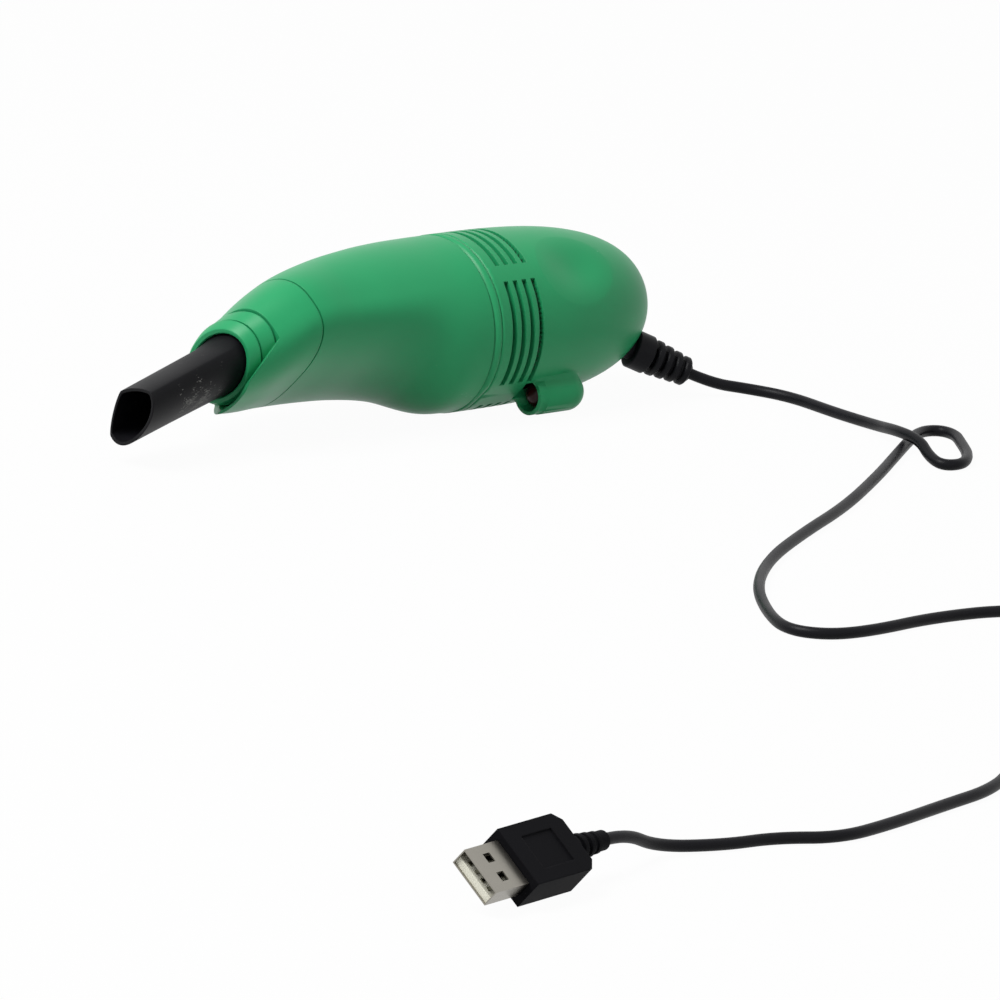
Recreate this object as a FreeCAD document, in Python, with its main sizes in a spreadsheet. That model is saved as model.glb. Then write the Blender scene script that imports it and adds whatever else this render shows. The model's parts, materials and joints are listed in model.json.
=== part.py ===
# Hand-held desk vacuum with a USB lead: a banana-shaped case lying rolled over on its belly and its lamp pod.
#
# Tool frame, used by every sub-part before it is laid down: the origin is the centre of the seam between the
# dust chamber and the rear housing, +X runs to the rear, +Z to the switch, -Z to the lamp pod, and the two
# halves of the rear housing meet on the plane y = 0. Row frame: +Z up, the table is z = 0.
import FreeCAD, Part
import math
import os
import Sketcher
from FreeCAD import Placement, Rotation, Vector

doc = FreeCAD.newDocument("desk_vacuum")
sizes = doc.addObject("Spreadsheet::Sheet", "sizes")

DRIVING_SIZES = {
    # case
    "seam_radius": 22.1, "wall": 1.8, "seam_gap": 0.4, "fit_gap": 0.25, "roll_angle": 44.5,
    # dust chamber and nose, section by section: how far ahead of the seam, half width, top and bottom
    "belly_reach": 8.0, "belly_half": 21.0, "belly_top": 22.0, "belly_drop": 20.8,
    "hollow_reach": 17.0, "hollow_half": 20.1, "hollow_top": 22.0, "hollow_drop": 15.0,
    "throat_reach": 27.0, "throat_half": 19.5, "throat_top": 21.4, "throat_drop": 11.9,
    "waist_reach": 40.0, "waist_half": 19.2, "waist_top": 19.5, "waist_drop": 10.8,
    "joint_reach": 53.5, "joint_half": 18.9, "joint_top": 15.4, "joint_drop": 11.0, "joint_tilt": 9.0,
    "brow_reach": 66.0, "brow_half": 16.0, "brow_top": 7.6, "brow_drop": 12.6,
    "lip_reach": 74.0, "lip_half": 12.8, "lip_top": 1.0, "lip_drop": 13.2,
    "brow_cut_angle": 17.0, "nose_tilt": 13.0, "joint_lap": 4.0,
    # spigot that the chamber pushes onto
    "spigot_radius": 19.35, "spigot_length": 5.0, "spigot_bore": 17.9,
    # nozzle and its collar
    "collar_reach": 72.5, "collar_drop": 3.4, "collar_half": 12.1, "collar_height": 8.7, "collar_flange": 2.4,
    "collar_neck": 9.0, "collar_neck_rim": 1.6, "collar_bore_half": 10.2, "collar_bore_height": 6.9,
    "nozzle_length": 34.5, "nozzle_plug": 7.0, "nozzle_half": 10.0, "nozzle_height": 5.6, "nozzle_wall": 1.2,
    "nozzle_mouth_angle": 19.0, "nozzle_play": 0.2,
    # rear housing
    "rear_length": 64.2, "vent_start": 5.7, "vent_pitch": 2.97, "vent_width": 1.5, "vent_rows": 4,
    "vent_span": 72.0, "vent_centre": 48.0, "groove_place": 2.2, "groove_width": 0.4, "groove_depth": 0.35,
    "grip_place": 31.5, "grip_half_length": 10.5, "grip_half_width": 7.5, "grip_depth": 1.3, "grip_angle": 88.0,
    # lamp pod
    "pod_start": 17.4, "pod_radius": 4.8, "pod_length": 17.0, "lamp_bore": 3.1, "lamp_bore_depth": 10.5,
    "led_radius": 2.5, "led_rim": 2.9, "led_length": 7.0, "led_setback": 1.0, "led_rim_thickness": 1.2,
    "lamp_lead_radius": 0.25, "lamp_lead_spread": 1.27,
    # motor and fan
    "motor_radius": 12.0, "motor_length": 25.5, "motor_boss": 3.0, "motor_cap": 2.6,
    "shaft_radius": 1.0, "shaft_play": 0.05, "bush_radius": 2.4, "fan_start": 5.0, "fan_radius": 16.0,
    "fan_hub": 3.2, "fan_plate": 1.0, "fan_depth": 9.0, "fan_eye": 6.5, "blade_thickness": 1.0, "blade_count": 8,
    "bracket_start": 16.2, "bracket_thickness": 2.0, "bracket_screw_place": 7.5, "bracket_screw_radius": 1.0,
    "inlet_start": 1.2, "inlet_thickness": 1.4, "inlet_lip": 1.2, "terminal_width": 2.4, "terminal_thickness": 0.5,
    "terminal_place": 6.0, "terminal_length": 3.0,
    # filter
    "filter_rim": 16.9, "filter_flange": 1.6, "filter_depth": 17.0, "filter_tip": 7.5, "cloth": 0.8,
    "filter_ring": 1.4,
    # switch
    "switch_place": 31.5, "switch_floor": 19.9, "switch_seat": 1.9, "switch_seat_half": 6.0, "switch_height": 4.8,
    "switch_half": 3.3, "switch_length": 13.0, "thumb_length": 6.4, "thumb_half": 3.2, "thumb_height": 1.9,
    "thumb_travel": 3.0, "stem_length": 4.0, "stem_half": 1.1, "window_play": 0.5, "pin_length": 2.6,
    # screws
    "boss_radius": 2.6, "pilot_radius": 0.9, "screw_head": 2.0, "screw_head_height": 1.5, "screw_length": 16.0,
    "screw_seat": 6.5,
    # strain relief
    "relief_place": 57.5, "relief_drop": 14.1, "relief_angle": 33.0, "relief_base": 4.3, "relief_base_length": 5.2,
    "relief_neck": 2.9, "relief_rib": 4.1, "relief_tip": 3.3, "relief_groove": 2.6, "relief_ribs": 4,
    "relief_pitch": 2.75, "relief_rib_width": 1.8,
    # lead
    "cord_diameter": 2.8, "coil_turns": 5, "coil_middle_radius": 16.0, "coil_layers": 2,
    # USB plug
    "plug_width": 15.5, "plug_height": 8.0, "plug_length": 22.0, "plug_chamfer": 2.2, "plug_tail": 13.0,
    "plug_tail_radius": 3.4, "plug_tip_radius": 2.3, "plug_rings": 4, "usb_width": 12.0, "usb_height": 4.5,
    "usb_length": 12.0, "usb_sheet": 0.3, "usb_insert": 5.0, "tongue_height": 1.8, "window_side": 2.4,
    "window_reach": 5.2, "window_spread": 2.55, "contact_width": 1.0, "contact_pitch": 2.3,
    "contact_thickness": 0.2, "panel_depth": 0.35, "panel_half": 4.4, "panel_length": 11.0,
}
for row, (alias, value) in enumerate(DRIVING_SIZES.items(), start=1):
    sizes.set(f"A{row}", alias)
    sizes.set(f"B{row}", str(value))
    sizes.setAlias(f"B{row}", alias)
doc.recompute()


def size(expression):
    """A size in millimetres, worked out from the sheet's cells."""
    return float(sizes.evalExpression(expression))


def bound(expression):
    """The same expression as other objects of the document have to spell it."""
    words = expression.replace("(", "( ").replace(")", " )").split()
    return " ".join(f"sizes.{word}" if word in DRIVING_SIZES else word for word in words)


# ---------------------------------------------------------------- sketch and body helpers

def new_body(label):
    body = doc.addObject("PartDesign::Body", label)
    body.Label = label
    return body


def origin_feature(body, role):
    return next(f for f in body.Origin.OriginFeatures if f.Role == role)


def new_sketch(body, name, plane, offset=""):
    """A sketch on one of the body's origin planes, moved along its normal by an expression."""
    sketch = body.newObject("Sketcher::SketchObject", f"{body.Name}_{name}")
    sketch.AttachmentSupport = [(origin_feature(body, plane), "")]
    sketch.MapMode = "FlatFace"
    if offset:
        sketch.setExpression("AttachmentOffset.Base.z", bound(offset))
    return sketch


def place_point(sketch, geometry, which, across, up):
    """Hold one point of the sketch at two sizes measured from its origin."""
    for kind, expression in (("DistanceX", across), ("DistanceY", up)):
        number = sketch.addConstraint(Sketcher.Constraint(kind, -1, 1, geometry, which, size(expression)))
        if any(alias in expression for alias in DRIVING_SIZES):
            sketch.setExpression(f"Constraints[{number}]", bound(expression))


def draw_outline(sketch, corners):
    """A closed outline of straight sides through corners given as pairs of expressions."""
    first = sketch.GeometryCount
    count = len(corners)
    spots = [Vector(size(across), size(up), 0) for across, up in corners]
    for i in range(count):
        sketch.addGeometry(Part.LineSegment(spots[i], spots[(i + 1) % count]), False)
    for i in range(count):
        sketch.addConstraint(Sketcher.Constraint("Coincident", first + i, 2, first + (i + 1) % count, 1))
    for i, (across, up) in enumerate(corners):
        place_point(sketch, first + i, 1, across, up)


def draw_rectangle(sketch, low, high):
    draw_outline(sketch, [low, (high[0], low[1]), high, (low[0], high[1])])


def draw_circle(sketch, across, up, radius):
    number = sketch.addGeometry(Part.Circle(Vector(size(across), size(up), 0), Vector(0, 0, 1), size(radius)), False)
    place_point(sketch, number, 3, across, up)
    named = sketch.addConstraint(Sketcher.Constraint("Radius", number, size(radius)))
    sketch.setExpression(f"Constraints[{named}]", bound(radius))


def turn(body, corners, name="profile"):
    """Revolve an outline drawn in the x-z plane about the body's X axis."""
    sketch = new_sketch(body, name, "XZ_Plane")
    draw_outline(sketch, corners)
    solid = body.newObject("PartDesign::Revolution", f"{body.Name}_{name}_turned")
    solid.Profile = sketch
    solid.ReferenceAxis = (origin_feature(body, "X_Axis"), [""])
    solid.Angle = 360
    return solid


def pad(body, sketch, length, midplane=False, reversed_side=False):
    solid = body.newObject("PartDesign::Pad", f"{sketch.Name}_pad")
    solid.Profile = sketch
    solid.setExpression("Length", bound(length))
    solid.Midplane = midplane
    solid.Reversed = reversed_side
    return solid


def pocket(body, sketch, length, midplane=False, reversed_side=False):
    cut = body.newObject("PartDesign::Pocket", f"{sketch.Name}_pocket")
    cut.Profile = sketch
    cut.setExpression("Length", bound(length))
    cut.Midplane = midplane
    cut.Reversed = reversed_side
    return cut


def polar(body, feature, axis, count):
    pattern = body.newObject("PartDesign::PolarPattern", f"{feature.Name}_round")
    pattern.Originals = [feature]
    pattern.Axis = (origin_feature(body, axis), [""])
    pattern.Angle = 360
    pattern.setExpression("Occurrences", bound(count))
    body.Tip = pattern
    return pattern


def feature(label, shape):
    item = doc.addObject("Part::Feature", label)
    item.Label = label
    item.Shape = shape
    return item


MOTOR_START = "( bracket_start + bracket_thickness )"
MOTOR_END = f"( {MOTOR_START} + motor_length )"
SWITCH_TOP = "( switch_floor - switch_seat )"

# ---------------------------------------------------------------- freeform case

def section(reach, middle, tilt, half, top, drop, boxiness, inset=0.0):
    """A closed cross-section of the nose: half an ellipse above its middle and a boxier half below it."""
    points = []
    steps = 28
    for i in range(steps):
        angle = 2 * math.pi * (i + 0.5) / steps
        across, up = math.cos(angle), math.sin(angle)
        power = 2.0 / (2.0 if up > 0 else boxiness)
        height = (top - middle if up > 0 else middle + drop) - inset
        y = (half - inset) * math.copysign(abs(across) ** power, across)
        v = height * math.copysign(abs(up) ** power, up)
        lean = math.radians(tilt)
        points.append(Vector(-reach - v * math.sin(lean), y, middle + v * math.cos(lean)))
    curve = Part.BSplineCurve()
    curve.interpolate(Points=points, PeriodicFlag=True)
    return Part.Wire([curve.toShape()])


# name of the station, its middle height, share of the nose's tilt that its plane leans by, and boxiness
NOSE_STATIONS = [("lip", -3.8, 1.0, 2.4), ("brow", -1.8, 1.0, 2.6), ("joint", -0.6, 0.7, 2.8),
                 ("waist", -0.6, 0.25, 2.8), ("throat", -0.8, 0.0, 2.6), ("hollow", -0.4, 0.0, 2.3),
                 ("belly", -0.3, 0.0, 2.1)]


def nose_form(inset):
    """The whole of the front of the case, from its lower lip to the seam, as one smooth solid."""
    wires = []
    for name, middle, share, boxiness in NOSE_STATIONS:
        wires.append(section(size(f"{name}_reach"), middle, share * size("nose_tilt"), size(f"{name}_half"),
                             size(f"{name}_top"), size(f"{name}_drop"), boxiness, inset))
    radius = size("seam_radius")
    wires.append(section(0.0, 0.0, 0.0, radius, radius, radius, 2.0, inset))
    return Part.makeLoft(wires, True, False)


def half_space(reach, tilt, ahead):
    """A large block whose one face is the plane that leans by tilt at reach ahead of the seam."""
    side = 120.0
    corner = Vector(-side if ahead else 0, -side / 2, -side / 2)
    block = Part.makeBox(side, side, side, corner)
    block.rotate(Vector(0, 0, 0), Vector(0, 1, 0), -tilt)
    block.translate(Vector(-reach, 0, 0))
    return block


def cylinder_x(radius, start, end):
    return Part.makeCylinder(radius, end - start, Vector(start, 0, 0), Vector(1, 0, 0))


wall = size("wall")
seam_gap = size("seam_gap")
joint_tilt = 0.7 * size("nose_tilt")
bore_radius = size("spigot_radius + fit_gap")
spigot_length = size("spigot_length")


def dust_chamber():
    outer = nose_form(0.0).common(half_space(size("joint_reach - seam_gap / 2"), joint_tilt, False))
    outer = outer.common(half_space(seam_gap / 2, 0.0, True))
    rim_start = -(spigot_length + 1.0)
    hollow = nose_form(wall).common(half_space(-rim_start, 0.0, True))
    return outer.cut(hollow).cut(cylinder_x(bore_radius, rim_start - 0.5, 1.0))


def nose_axis_placement():
    """Origin at the middle of the collar's front face, +X back along the nozzle."""
    spot = Vector(-size("collar_reach"), 0, -size("collar_drop"))
    return Placement(spot, Rotation(Vector(0, 1, 0), -size("nose_tilt")))


def oval_prism(half, height, start, length):
    """An elliptical bar along the nozzle's axis."""
    oval = Part.Ellipse(Vector(0, 0, 0), half, height).toShape()
    oval.Placement = Placement(Vector(start, 0, 0), Rotation(Vector(1, 1, 1), 120))
    bar = Part.Face(Part.Wire([oval])).extrude(Vector(length, 0, 0))
    bar.Placement = nose_axis_placement().multiply(bar.Placement)
    return bar


def nose_cone():
    outer = nose_form(0.0).common(half_space(size("joint_reach + seam_gap / 2"), joint_tilt, True))
    brow = half_space(size("brow_reach") + 3.4, -size("brow_cut_angle"), True)
    outer = outer.cut(brow)
    hollow = nose_form(wall).cut(half_space(size("collar_reach - 8.5"), size("nose_tilt"), True))
    neck = oval_prism(size("collar_bore_half + collar_neck_rim + fit_gap"),
                      size("collar_bore_height + collar_neck_rim - 0.5 + fit_gap"), -5.0, 20.0)
    flange = oval_prism(size("collar_half + 0.6"), size("collar_height + 0.6"), -6.0,
                        size("collar_flange") + 6.6)
    seam_face = size("joint_reach") + seam_gap / 2
    lap = nose_form(wall + size("fit_gap")).common(half_space(seam_face, joint_tilt, False))
    lap = lap.common(half_space(size("joint_reach - joint_lap"), joint_tilt, True))
    root = nose_form(wall - 0.2).common(half_space(seam_face, joint_tilt, True))
    root = root.common(half_space(seam_face + 2.0, joint_tilt, False))
    lap = lap.fuse(root).cut(nose_form(wall + size("fit_gap") + 1.2))
    return outer.cut(hollow).cut(neck).cut(flange).fuse(lap)


def nozzle_collar():
    flange = oval_prism(size("collar_half"), size("collar_height"), 0.0, size("collar_flange"))
    neck = oval_prism(size("collar_bore_half + collar_neck_rim"),
                      size("collar_bore_height + collar_neck_rim - 0.5"), 0.0, size("collar_neck"))
    bore = oval_prism(size("collar_bore_half"), size("collar_bore_height"), -1.0, size("collar_neck") + 2.0)
    return flange.fuse(neck).cut(bore).removeSplitter()


def lens_wire(place, half, height, power):
    """A flattened tube's outline with a crease along each side; a power of 2 is a plain oval."""
    steps = 24
    points = []
    for i in range(steps):
        angle = 2 * math.pi * (i + 0.5) / steps
        across, up = math.cos(angle), math.sin(angle)
        points.append(Vector(place, half * math.copysign(abs(across) ** (2 / power), across),
                             height * math.copysign(abs(up) ** (2 / power), up)))
    curve = Part.BSplineCurve()
    curve.interpolate(Points=points, PeriodicFlag=True)
    return Part.Wire([curve.toShape()])


def nozzle_form(inset, overrun):
    root_half = size("collar_bore_half - nozzle_play") - inset
    root_height = size("collar_bore_height - nozzle_play") - inset
    half = size("nozzle_half") - inset
    height = size("nozzle_height") - inset
    reach = size("nozzle_length") + 8.0
    plug = size("nozzle_plug") + overrun
    root = Part.makeLoft([lens_wire(plug, root_half, root_height, 2.0), lens_wire(0.3, root_half, root_height, 2.0)],
                         True, True)
    neck = Part.makeLoft([lens_wire(0.3, root_half, root_height, 2.0), lens_wire(-1.2, root_half, root_height, 1.95),
                          lens_wire(-6.0, (root_half + half) / 2, (root_height + height) / 2, 1.7),
                          lens_wire(-10.5, half, height, 1.5), lens_wire(-12.0, half, height, 1.5)], True, False)
    tube = Part.makeLoft([lens_wire(-12.0, half, height, 1.5), lens_wire(-reach, half, height, 1.5)], True, True)
    return root.fuse([neck, tube])


def crevice_nozzle():
    tube = nozzle_form(0.0, 0.0).cut(nozzle_form(size("nozzle_wall"), 1.0))
    mouth = Part.makeBox(60, 60, 60, Vector(-60, -30, -30))
    mouth.rotate(Vector(0, 0, 0), Vector(0, 1, 0), size("nozzle_mouth_angle"))
    mouth.translate(Vector(-size("nozzle_length"), 0, 0))
    tube = tube.cut(mouth)
    tube.Placement = nose_axis_placement().multiply(tube.Placement)
    return tube


# ---------------------------------------------------------------- rear housing

def rear_radius(place):
    """Radius of the rear housing's outside, at a place behind the seam."""
    full = size("rear_length")
    share = max(0.0, min(1.0, place / full))
    return size("seam_radius") * (1 - share ** 3.1) ** 0.38


def rear_form(inset):
    """The egg-shaped rear, turned about the X axis; the inset form is the hollow inside its wall."""
    length = size("rear_length")
    places = [0.0, 0.16, 0.33, 0.5, 0.64, 0.76, 0.86, 0.93, 0.975]
    points = [Vector(share * (length - inset), 0, rear_radius(share * length) - inset) for share in places]
    points.append(Vector(length - inset, 0, 0))
    curve = Part.BSplineCurve()
    curve.interpolate(Points=points, InitialTangent=Vector(1, 0, 0), FinalTangent=Vector(0, 0, -1))
    axis = Part.LineSegment(points[-1], Vector(0, 0, 0)).toShape()
    front = Part.LineSegment(Vector(0, 0, 0), points[0]).toShape()
    face = Part.Face(Part.Wire([curve.toShape(), axis, front]))
    return face.revolve(Vector(0, 0, 0), Vector(1, 0, 0), 360)


pod_drop = (size("seam_radius") - size("pod_radius")) / math.cos(math.radians(size("roll_angle")))


def pod_form():
    """The lamp pod: a barrel under the belly with a rounded tail and cheeks that run up into the case."""
    radius = size("pod_radius")
    start = size("pod_start")
    tail = start + size("pod_length") - radius
    barrel = Part.makeCylinder(radius, tail - start, Vector(start, 0, -pod_drop), Vector(1, 0, 0))
    end = Part.makeSphere(radius, Vector(tail, 0, -pod_drop))
    cheeks = Part.makeBox(tail - start, 2 * radius, radius, Vector(start, -radius, -pod_drop))
    back = Part.makeCylinder(radius, radius, Vector(tail, 0, -pod_drop), Vector(0, 0, 1))
    return barrel.fuse([end, cheeks, back]).removeSplitter()


def vent_cuts(side):
    """The narrow slots round the fan on one side: two groups of ring sectors."""
    cuts = []
    outer = size("seam_radius") + 2.0
    inner = size("seam_radius") - 2 * wall
    span = size("vent_span")
    for middle in (size("vent_centre"), 180 - size("vent_centre")):
        for row in range(int(size("vent_rows"))):
            place = size("vent_start") + row * size("vent_pitch")
            face = Part.makePlane(size("vent_width"), outer - inner, Vector(place, 0, -inner),
                                  Vector(0, 1, 0), Vector(1, 0, 0))
            face.rotate(Vector(0, 0, 0), Vector(1, 0, 0), side * middle - span / 2)
            cuts.append(face.revolve(Vector(0, 0, 0), Vector(1, 0, 0), span))
    return cuts


relief_axis = Placement(Vector(size("relief_place"), 0, -size("relief_drop")),
                        Rotation(Vector(0, 1, 0), size("relief_angle")))
SCREW_PLACES = [(21.6, 15.6), (52.5, 4.5), (49.6, -11.6)]


def across_cylinder(radius, spot, start, end):
    """A cylinder along Y at a place and height, from start to end."""
    return Part.makeCylinder(radius, end - start, Vector(spot[0], start, spot[1]), Vector(0, 1, 0))


def rear_shell(side):
    """One half of the clamshell: side is -1 for the left half and +1 for the right half."""
    outer = rear_form(0.0)
    hollow = rear_form(wall)
    half = Part.makeBox(140, 60, 120, Vector(-30, 0 if side > 0 else -60, -60))
    skin = outer.cut(hollow)
    spigot = cylinder_x(size("spigot_radius"), -spigot_length, seam_gap / 2 + wall)
    rim = outer.common(cylinder_x(size("seam_radius") + 1, seam_gap / 2, seam_gap / 2 + wall))
    skin = skin.common(half_space(-seam_gap / 2, 0, False)).fuse([spigot, rim])
    skin = skin.cut(cylinder_x(size("spigot_bore"), -spigot_length - 1, seam_gap / 2 + wall + 1))
    groove = cylinder_x(size("seam_radius") + 1, size("groove_place"), size("groove_place + groove_width"))
    skin = skin.cut(groove.cut(cylinder_x(size("seam_radius - groove_depth"), 0, 10)))

    ledge_start = size("bracket_start + bracket_thickness")
    ledge = hollow.common(cylinder_x(30, ledge_start, ledge_start + 1.2))
    ledge = ledge.cut(cylinder_x(size("motor_radius + 5.6"), ledge_start - 1, ledge_start + 3))
    cradle_start = size(f"{MOTOR_START} + motor_length * 0.75")
    cradle = hollow.common(cylinder_x(30, cradle_start, cradle_start + 1.6))
    cradle = cradle.cut(cylinder_x(size("motor_radius + fit_gap"), cradle_start - 1, cradle_start + 3))
    cradle = cradle.cut(Part.makeBox(8, 15, 20, Vector(cradle_start - 2, -7.5, 8)))
    seat_low = size("switch_floor - switch_seat")
    seat_from = size("switch_place - switch_length / 2 - 1.5")
    seat = Part.makeBox(size("switch_length + 3"), size("switch_seat_half * 2"), 10,
                        Vector(seat_from, -size("switch_seat_half"), seat_low))
    skin = skin.fuse([ledge, cradle, seat.common(outer)])
    skin = skin.fuse(pod_form().cut(hollow))

    for spot in SCREW_PLACES:
        skin = skin.fuse(across_cylinder(size("boss_radius"), spot, -30, 30).common(outer))
    skin = skin.common(half)
    for spot in SCREW_PLACES:
        if side < 0:
            skin = skin.cut(across_cylinder(size("pilot_radius"), spot, -11, 1))
        else:
            skin = skin.cut(across_cylinder(size("pilot_radius + 0.4"), spot, -1, 30))
            skin = skin.cut(across_cylinder(size("screw_head + 0.3"), spot, size("screw_seat"), 30))

    pocket_from = size("switch_place - thumb_length / 2 - thumb_travel / 2 - window_play")
    pocket_long = size("thumb_length + thumb_travel + 2 * window_play")
    skin = skin.cut(Part.makeBox(pocket_long, size("2 * thumb_half + 2 * window_play"), 10,
                                 Vector(pocket_from, -size("thumb_half + window_play"), size("switch_floor"))))
    slot_from = size("switch_place - stem_length / 2 - thumb_travel / 2 - window_play")
    slot_long = size("stem_length + thumb_travel + 2 * window_play")
    skin = skin.cut(Part.makeBox(slot_long, size("2 * stem_half + 2 * window_play"), 12,
                                 Vector(slot_from, -size("stem_half + window_play"), seat_low - 1)))

    lamp = Part.makeCylinder(size("lamp_bore"), size("lamp_bore_depth + 1"),
                             Vector(size("pod_start - 1"), 0, -pod_drop), Vector(1, 0, 0))
    leads = Part.makeCylinder(1.9, 9.0, Vector(size("pod_start + lamp_bore_depth") - 2.2, 0, -pod_drop),
                              Vector(0, 0, 1))
    relief = Part.makeCylinder(size("relief_neck + 0.05"), 14, Vector(-8, 0, 0), Vector(1, 0, 0))
    socket = Part.makeCylinder(size("relief_base + 0.1"), 6, Vector(-0.4, 0, 0), Vector(1, 0, 0))
    inside = Part.makeCylinder(size("relief_base + 0.1"), 2.9, Vector(-5.0, 0, 0), Vector(1, 0, 0))
    for tool in (relief, socket, inside):
        tool.Placement = relief_axis.multiply(tool.Placement)
    skin = skin.cut([lamp, leads, relief, socket, inside])

    grip = Part.makeSphere(1.0)
    stretch = FreeCAD.Matrix()
    stretch.scale(Vector(size("grip_half_length"), size("grip_half_width"), size("grip_depth * 2")))
    grip = grip.transformGeometry(stretch)
    grip.translate(Vector(size("grip_place"), 0, -rear_radius(size("grip_place")) - size("grip_depth") * 0.55))
    grip.rotate(Vector(0, 0, 0), Vector(1, 0, 0), size("grip_angle") * side)
    skin = skin.cut(grip)
    return skin.cut(vent_cuts(side)).removeSplitter()


# ---------------------------------------------------------------- filter, fan and motor

def filter_frame():
    body = new_body("filter_frame")
    front = "- spigot_length - filter_flange"
    inner = "filter_rim - filter_ring"
    outer = "spigot_bore - fit_gap"
    turn(body, [(front, inner), ("filter_ring - 1", inner), ("filter_ring - 1", outer), ("- spigot_length", outer),
                ("- spigot_length", "spigot_radius - 0.4"), (front, "spigot_radius - 0.4")])
    for name, half_y, half_z in (("bar_level", "filter_rim - 1", "filter_ring / 2"),
                                 ("bar_upright", "filter_ring / 2", "filter_rim - 1")):
        sketch = new_sketch(body, name, "YZ_Plane", "filter_ring - 2")
        draw_rectangle(sketch, (f"- ( {half_y} )", f"- ( {half_z} )"), (half_y, half_z))
        pad(body, sketch, "filter_ring - 0.4", reversed_side=True)
    return body


def filter_cloth():
    """A cup of cloth that reaches forward into the chamber from the frame's flange."""
    body = new_body("filter_cloth")
    rim = "- spigot_length - filter_flange"
    outline = [(rim, "filter_rim - 0.4"), (f"{rim} - filter_depth * 0.45", "filter_tip + 5.6"),
               (f"{rim} - filter_depth * 0.8", "filter_tip + 2"), (f"{rim} - filter_depth", "filter_tip - 1"),
               (f"{rim} - filter_depth", "0"), (f"{rim} - filter_depth + cloth", "0"),
               (f"{rim} - filter_depth + cloth", "filter_tip - 1.4"),
               (f"{rim} - filter_depth * 0.8 + cloth", "filter_tip + 1.2"),
               (f"{rim} - filter_depth * 0.45 + cloth", "filter_tip + 4.9"),
               (rim, "filter_rim - 0.4 - cloth")]
    turn(body, outline)
    return body


def fan_cover():
    body = new_body("fan_cover")
    back = "inlet_start + inlet_thickness"
    turn(body, [("inlet_start", "fan_eye"), (f"{back} + inlet_lip", "fan_eye"), (f"{back} + inlet_lip", "fan_eye + 1"),
                (back, "fan_eye + 1"), (back, "spigot_bore - fit_gap"), ("inlet_start", "spigot_bore - fit_gap")])
    return body


def impeller():
    body = new_body("impeller")
    end = "fan_start + fan_depth"
    turn(body, [("fan_start - 0.5", "shaft_radius"), (end, "shaft_radius"), (end, "fan_radius"),
                (f"{end} - fan_plate", "fan_radius"), (f"{end} - fan_plate", "fan_hub"), ("fan_start - 0.5", "fan_hub")])
    sketch = new_sketch(body, "blade", "YZ_Plane", "fan_start")
    inner, outer, thick = size("fan_hub - 0.6"), size("fan_radius - 0.5"), size("blade_thickness")
    sweep = math.radians(38)
    near = Vector(inner, 0, 0)
    far = Vector(outer * math.cos(sweep), outer * math.sin(sweep), 0)
    belly = Vector((near.x + far.x) / 2 + 0.16 * outer, (near.y + far.y) / 2 - 0.16 * outer, 0)
    shift = Vector(-thick * math.sin(sweep), thick * math.cos(sweep), 0)
    sketch.addGeometry(Part.Arc(near, belly, far), False)
    sketch.addGeometry(Part.LineSegment(far, far + shift), False)
    sketch.addGeometry(Part.Arc(far + shift, belly + shift, near + shift), False)
    sketch.addGeometry(Part.LineSegment(near + shift, near), False)
    blade = pad(body, sketch, "fan_depth - fan_plate")
    polar(body, blade, "X_Axis", "blade_count")
    return body


def motor_shaft():
    body = new_body("motor_shaft")
    sketch = new_sketch(body, "round", "YZ_Plane", "fan_start - 1")
    draw_circle(sketch, "0", "0", "shaft_radius")
    pad(body, sketch, f"{MOTOR_END} + motor_cap / 2 - fan_start + 1")
    return body


def motor_can():
    body = new_body("motor_can")
    front = f"{MOTOR_START} - bracket_thickness - 0.2"
    bore = "shaft_radius + shaft_play"
    turn(body, [(front, "bush_radius"), (front, "motor_boss"), (MOTOR_START, "motor_boss"),
                (MOTOR_START, "motor_radius - 0.8"), (f"{MOTOR_START} + 0.8", "motor_radius"),
                (MOTOR_END, "motor_radius"), (MOTOR_END, bore), (f"{MOTOR_START} + 1.5", bore),
                (f"{MOTOR_START} + 1.5", "bush_radius")])
    sketch = new_sketch(body, "screw_holes", "YZ_Plane", MOTOR_START)
    draw_circle(sketch, "bracket_screw_place", "0", "bracket_screw_radius")
    draw_circle(sketch, "- bracket_screw_place", "0", "bracket_screw_radius")
    pocket(body, sketch, "bracket_thickness + 1", reversed_side=True)
    return body


def motor_bushing():
    body = new_body("motor_bushing")
    front = f"{MOTOR_START} - bracket_thickness - 0.6"
    bore = "shaft_radius + shaft_play"
    turn(body, [(front, bore), (f"{MOTOR_START} + 1.5", bore), (f"{MOTOR_START} + 1.5", "bush_radius"),
                (front, "bush_radius")])
    return body


def motor_end_cap():
    body = new_body("motor_end_cap")
    bore = "shaft_radius + shaft_play"
    back = f"{MOTOR_END} + motor_cap"
    turn(body, [(MOTOR_END, bore), (MOTOR_END, "motor_radius - 0.9"), (f"{back} - 0.6", "motor_radius - 0.9"),
                (back, "motor_radius - 1.5"), (back, bore)])
    return body


def motor_terminals():
    tabs = []
    for name, sign in (("plus", ""), ("minus", "-")):
        tab = doc.addObject("Part::Box", f"terminal_{name}")
        tab.setExpression("Length", bound("terminal_length"))
        tab.setExpression("Width", bound("terminal_thickness"))
        tab.setExpression("Height", bound("terminal_width"))
        tab.setExpression("Placement.Base.x", bound(f"{MOTOR_END} + motor_cap"))
        tab.setExpression("Placement.Base.y", bound(f"{sign} terminal_place - terminal_thickness / 2"))
        tab.setExpression("Placement.Base.z", bound("- terminal_width / 2"))
        tabs.append(tab)
    return group("motor_terminals", tabs)


def group(label, members):
    """Identical pieces kept as separate solids of one node."""
    both = doc.addObject("Part::Compound", label)
    both.Label = label
    both.Links = members
    return both


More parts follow.
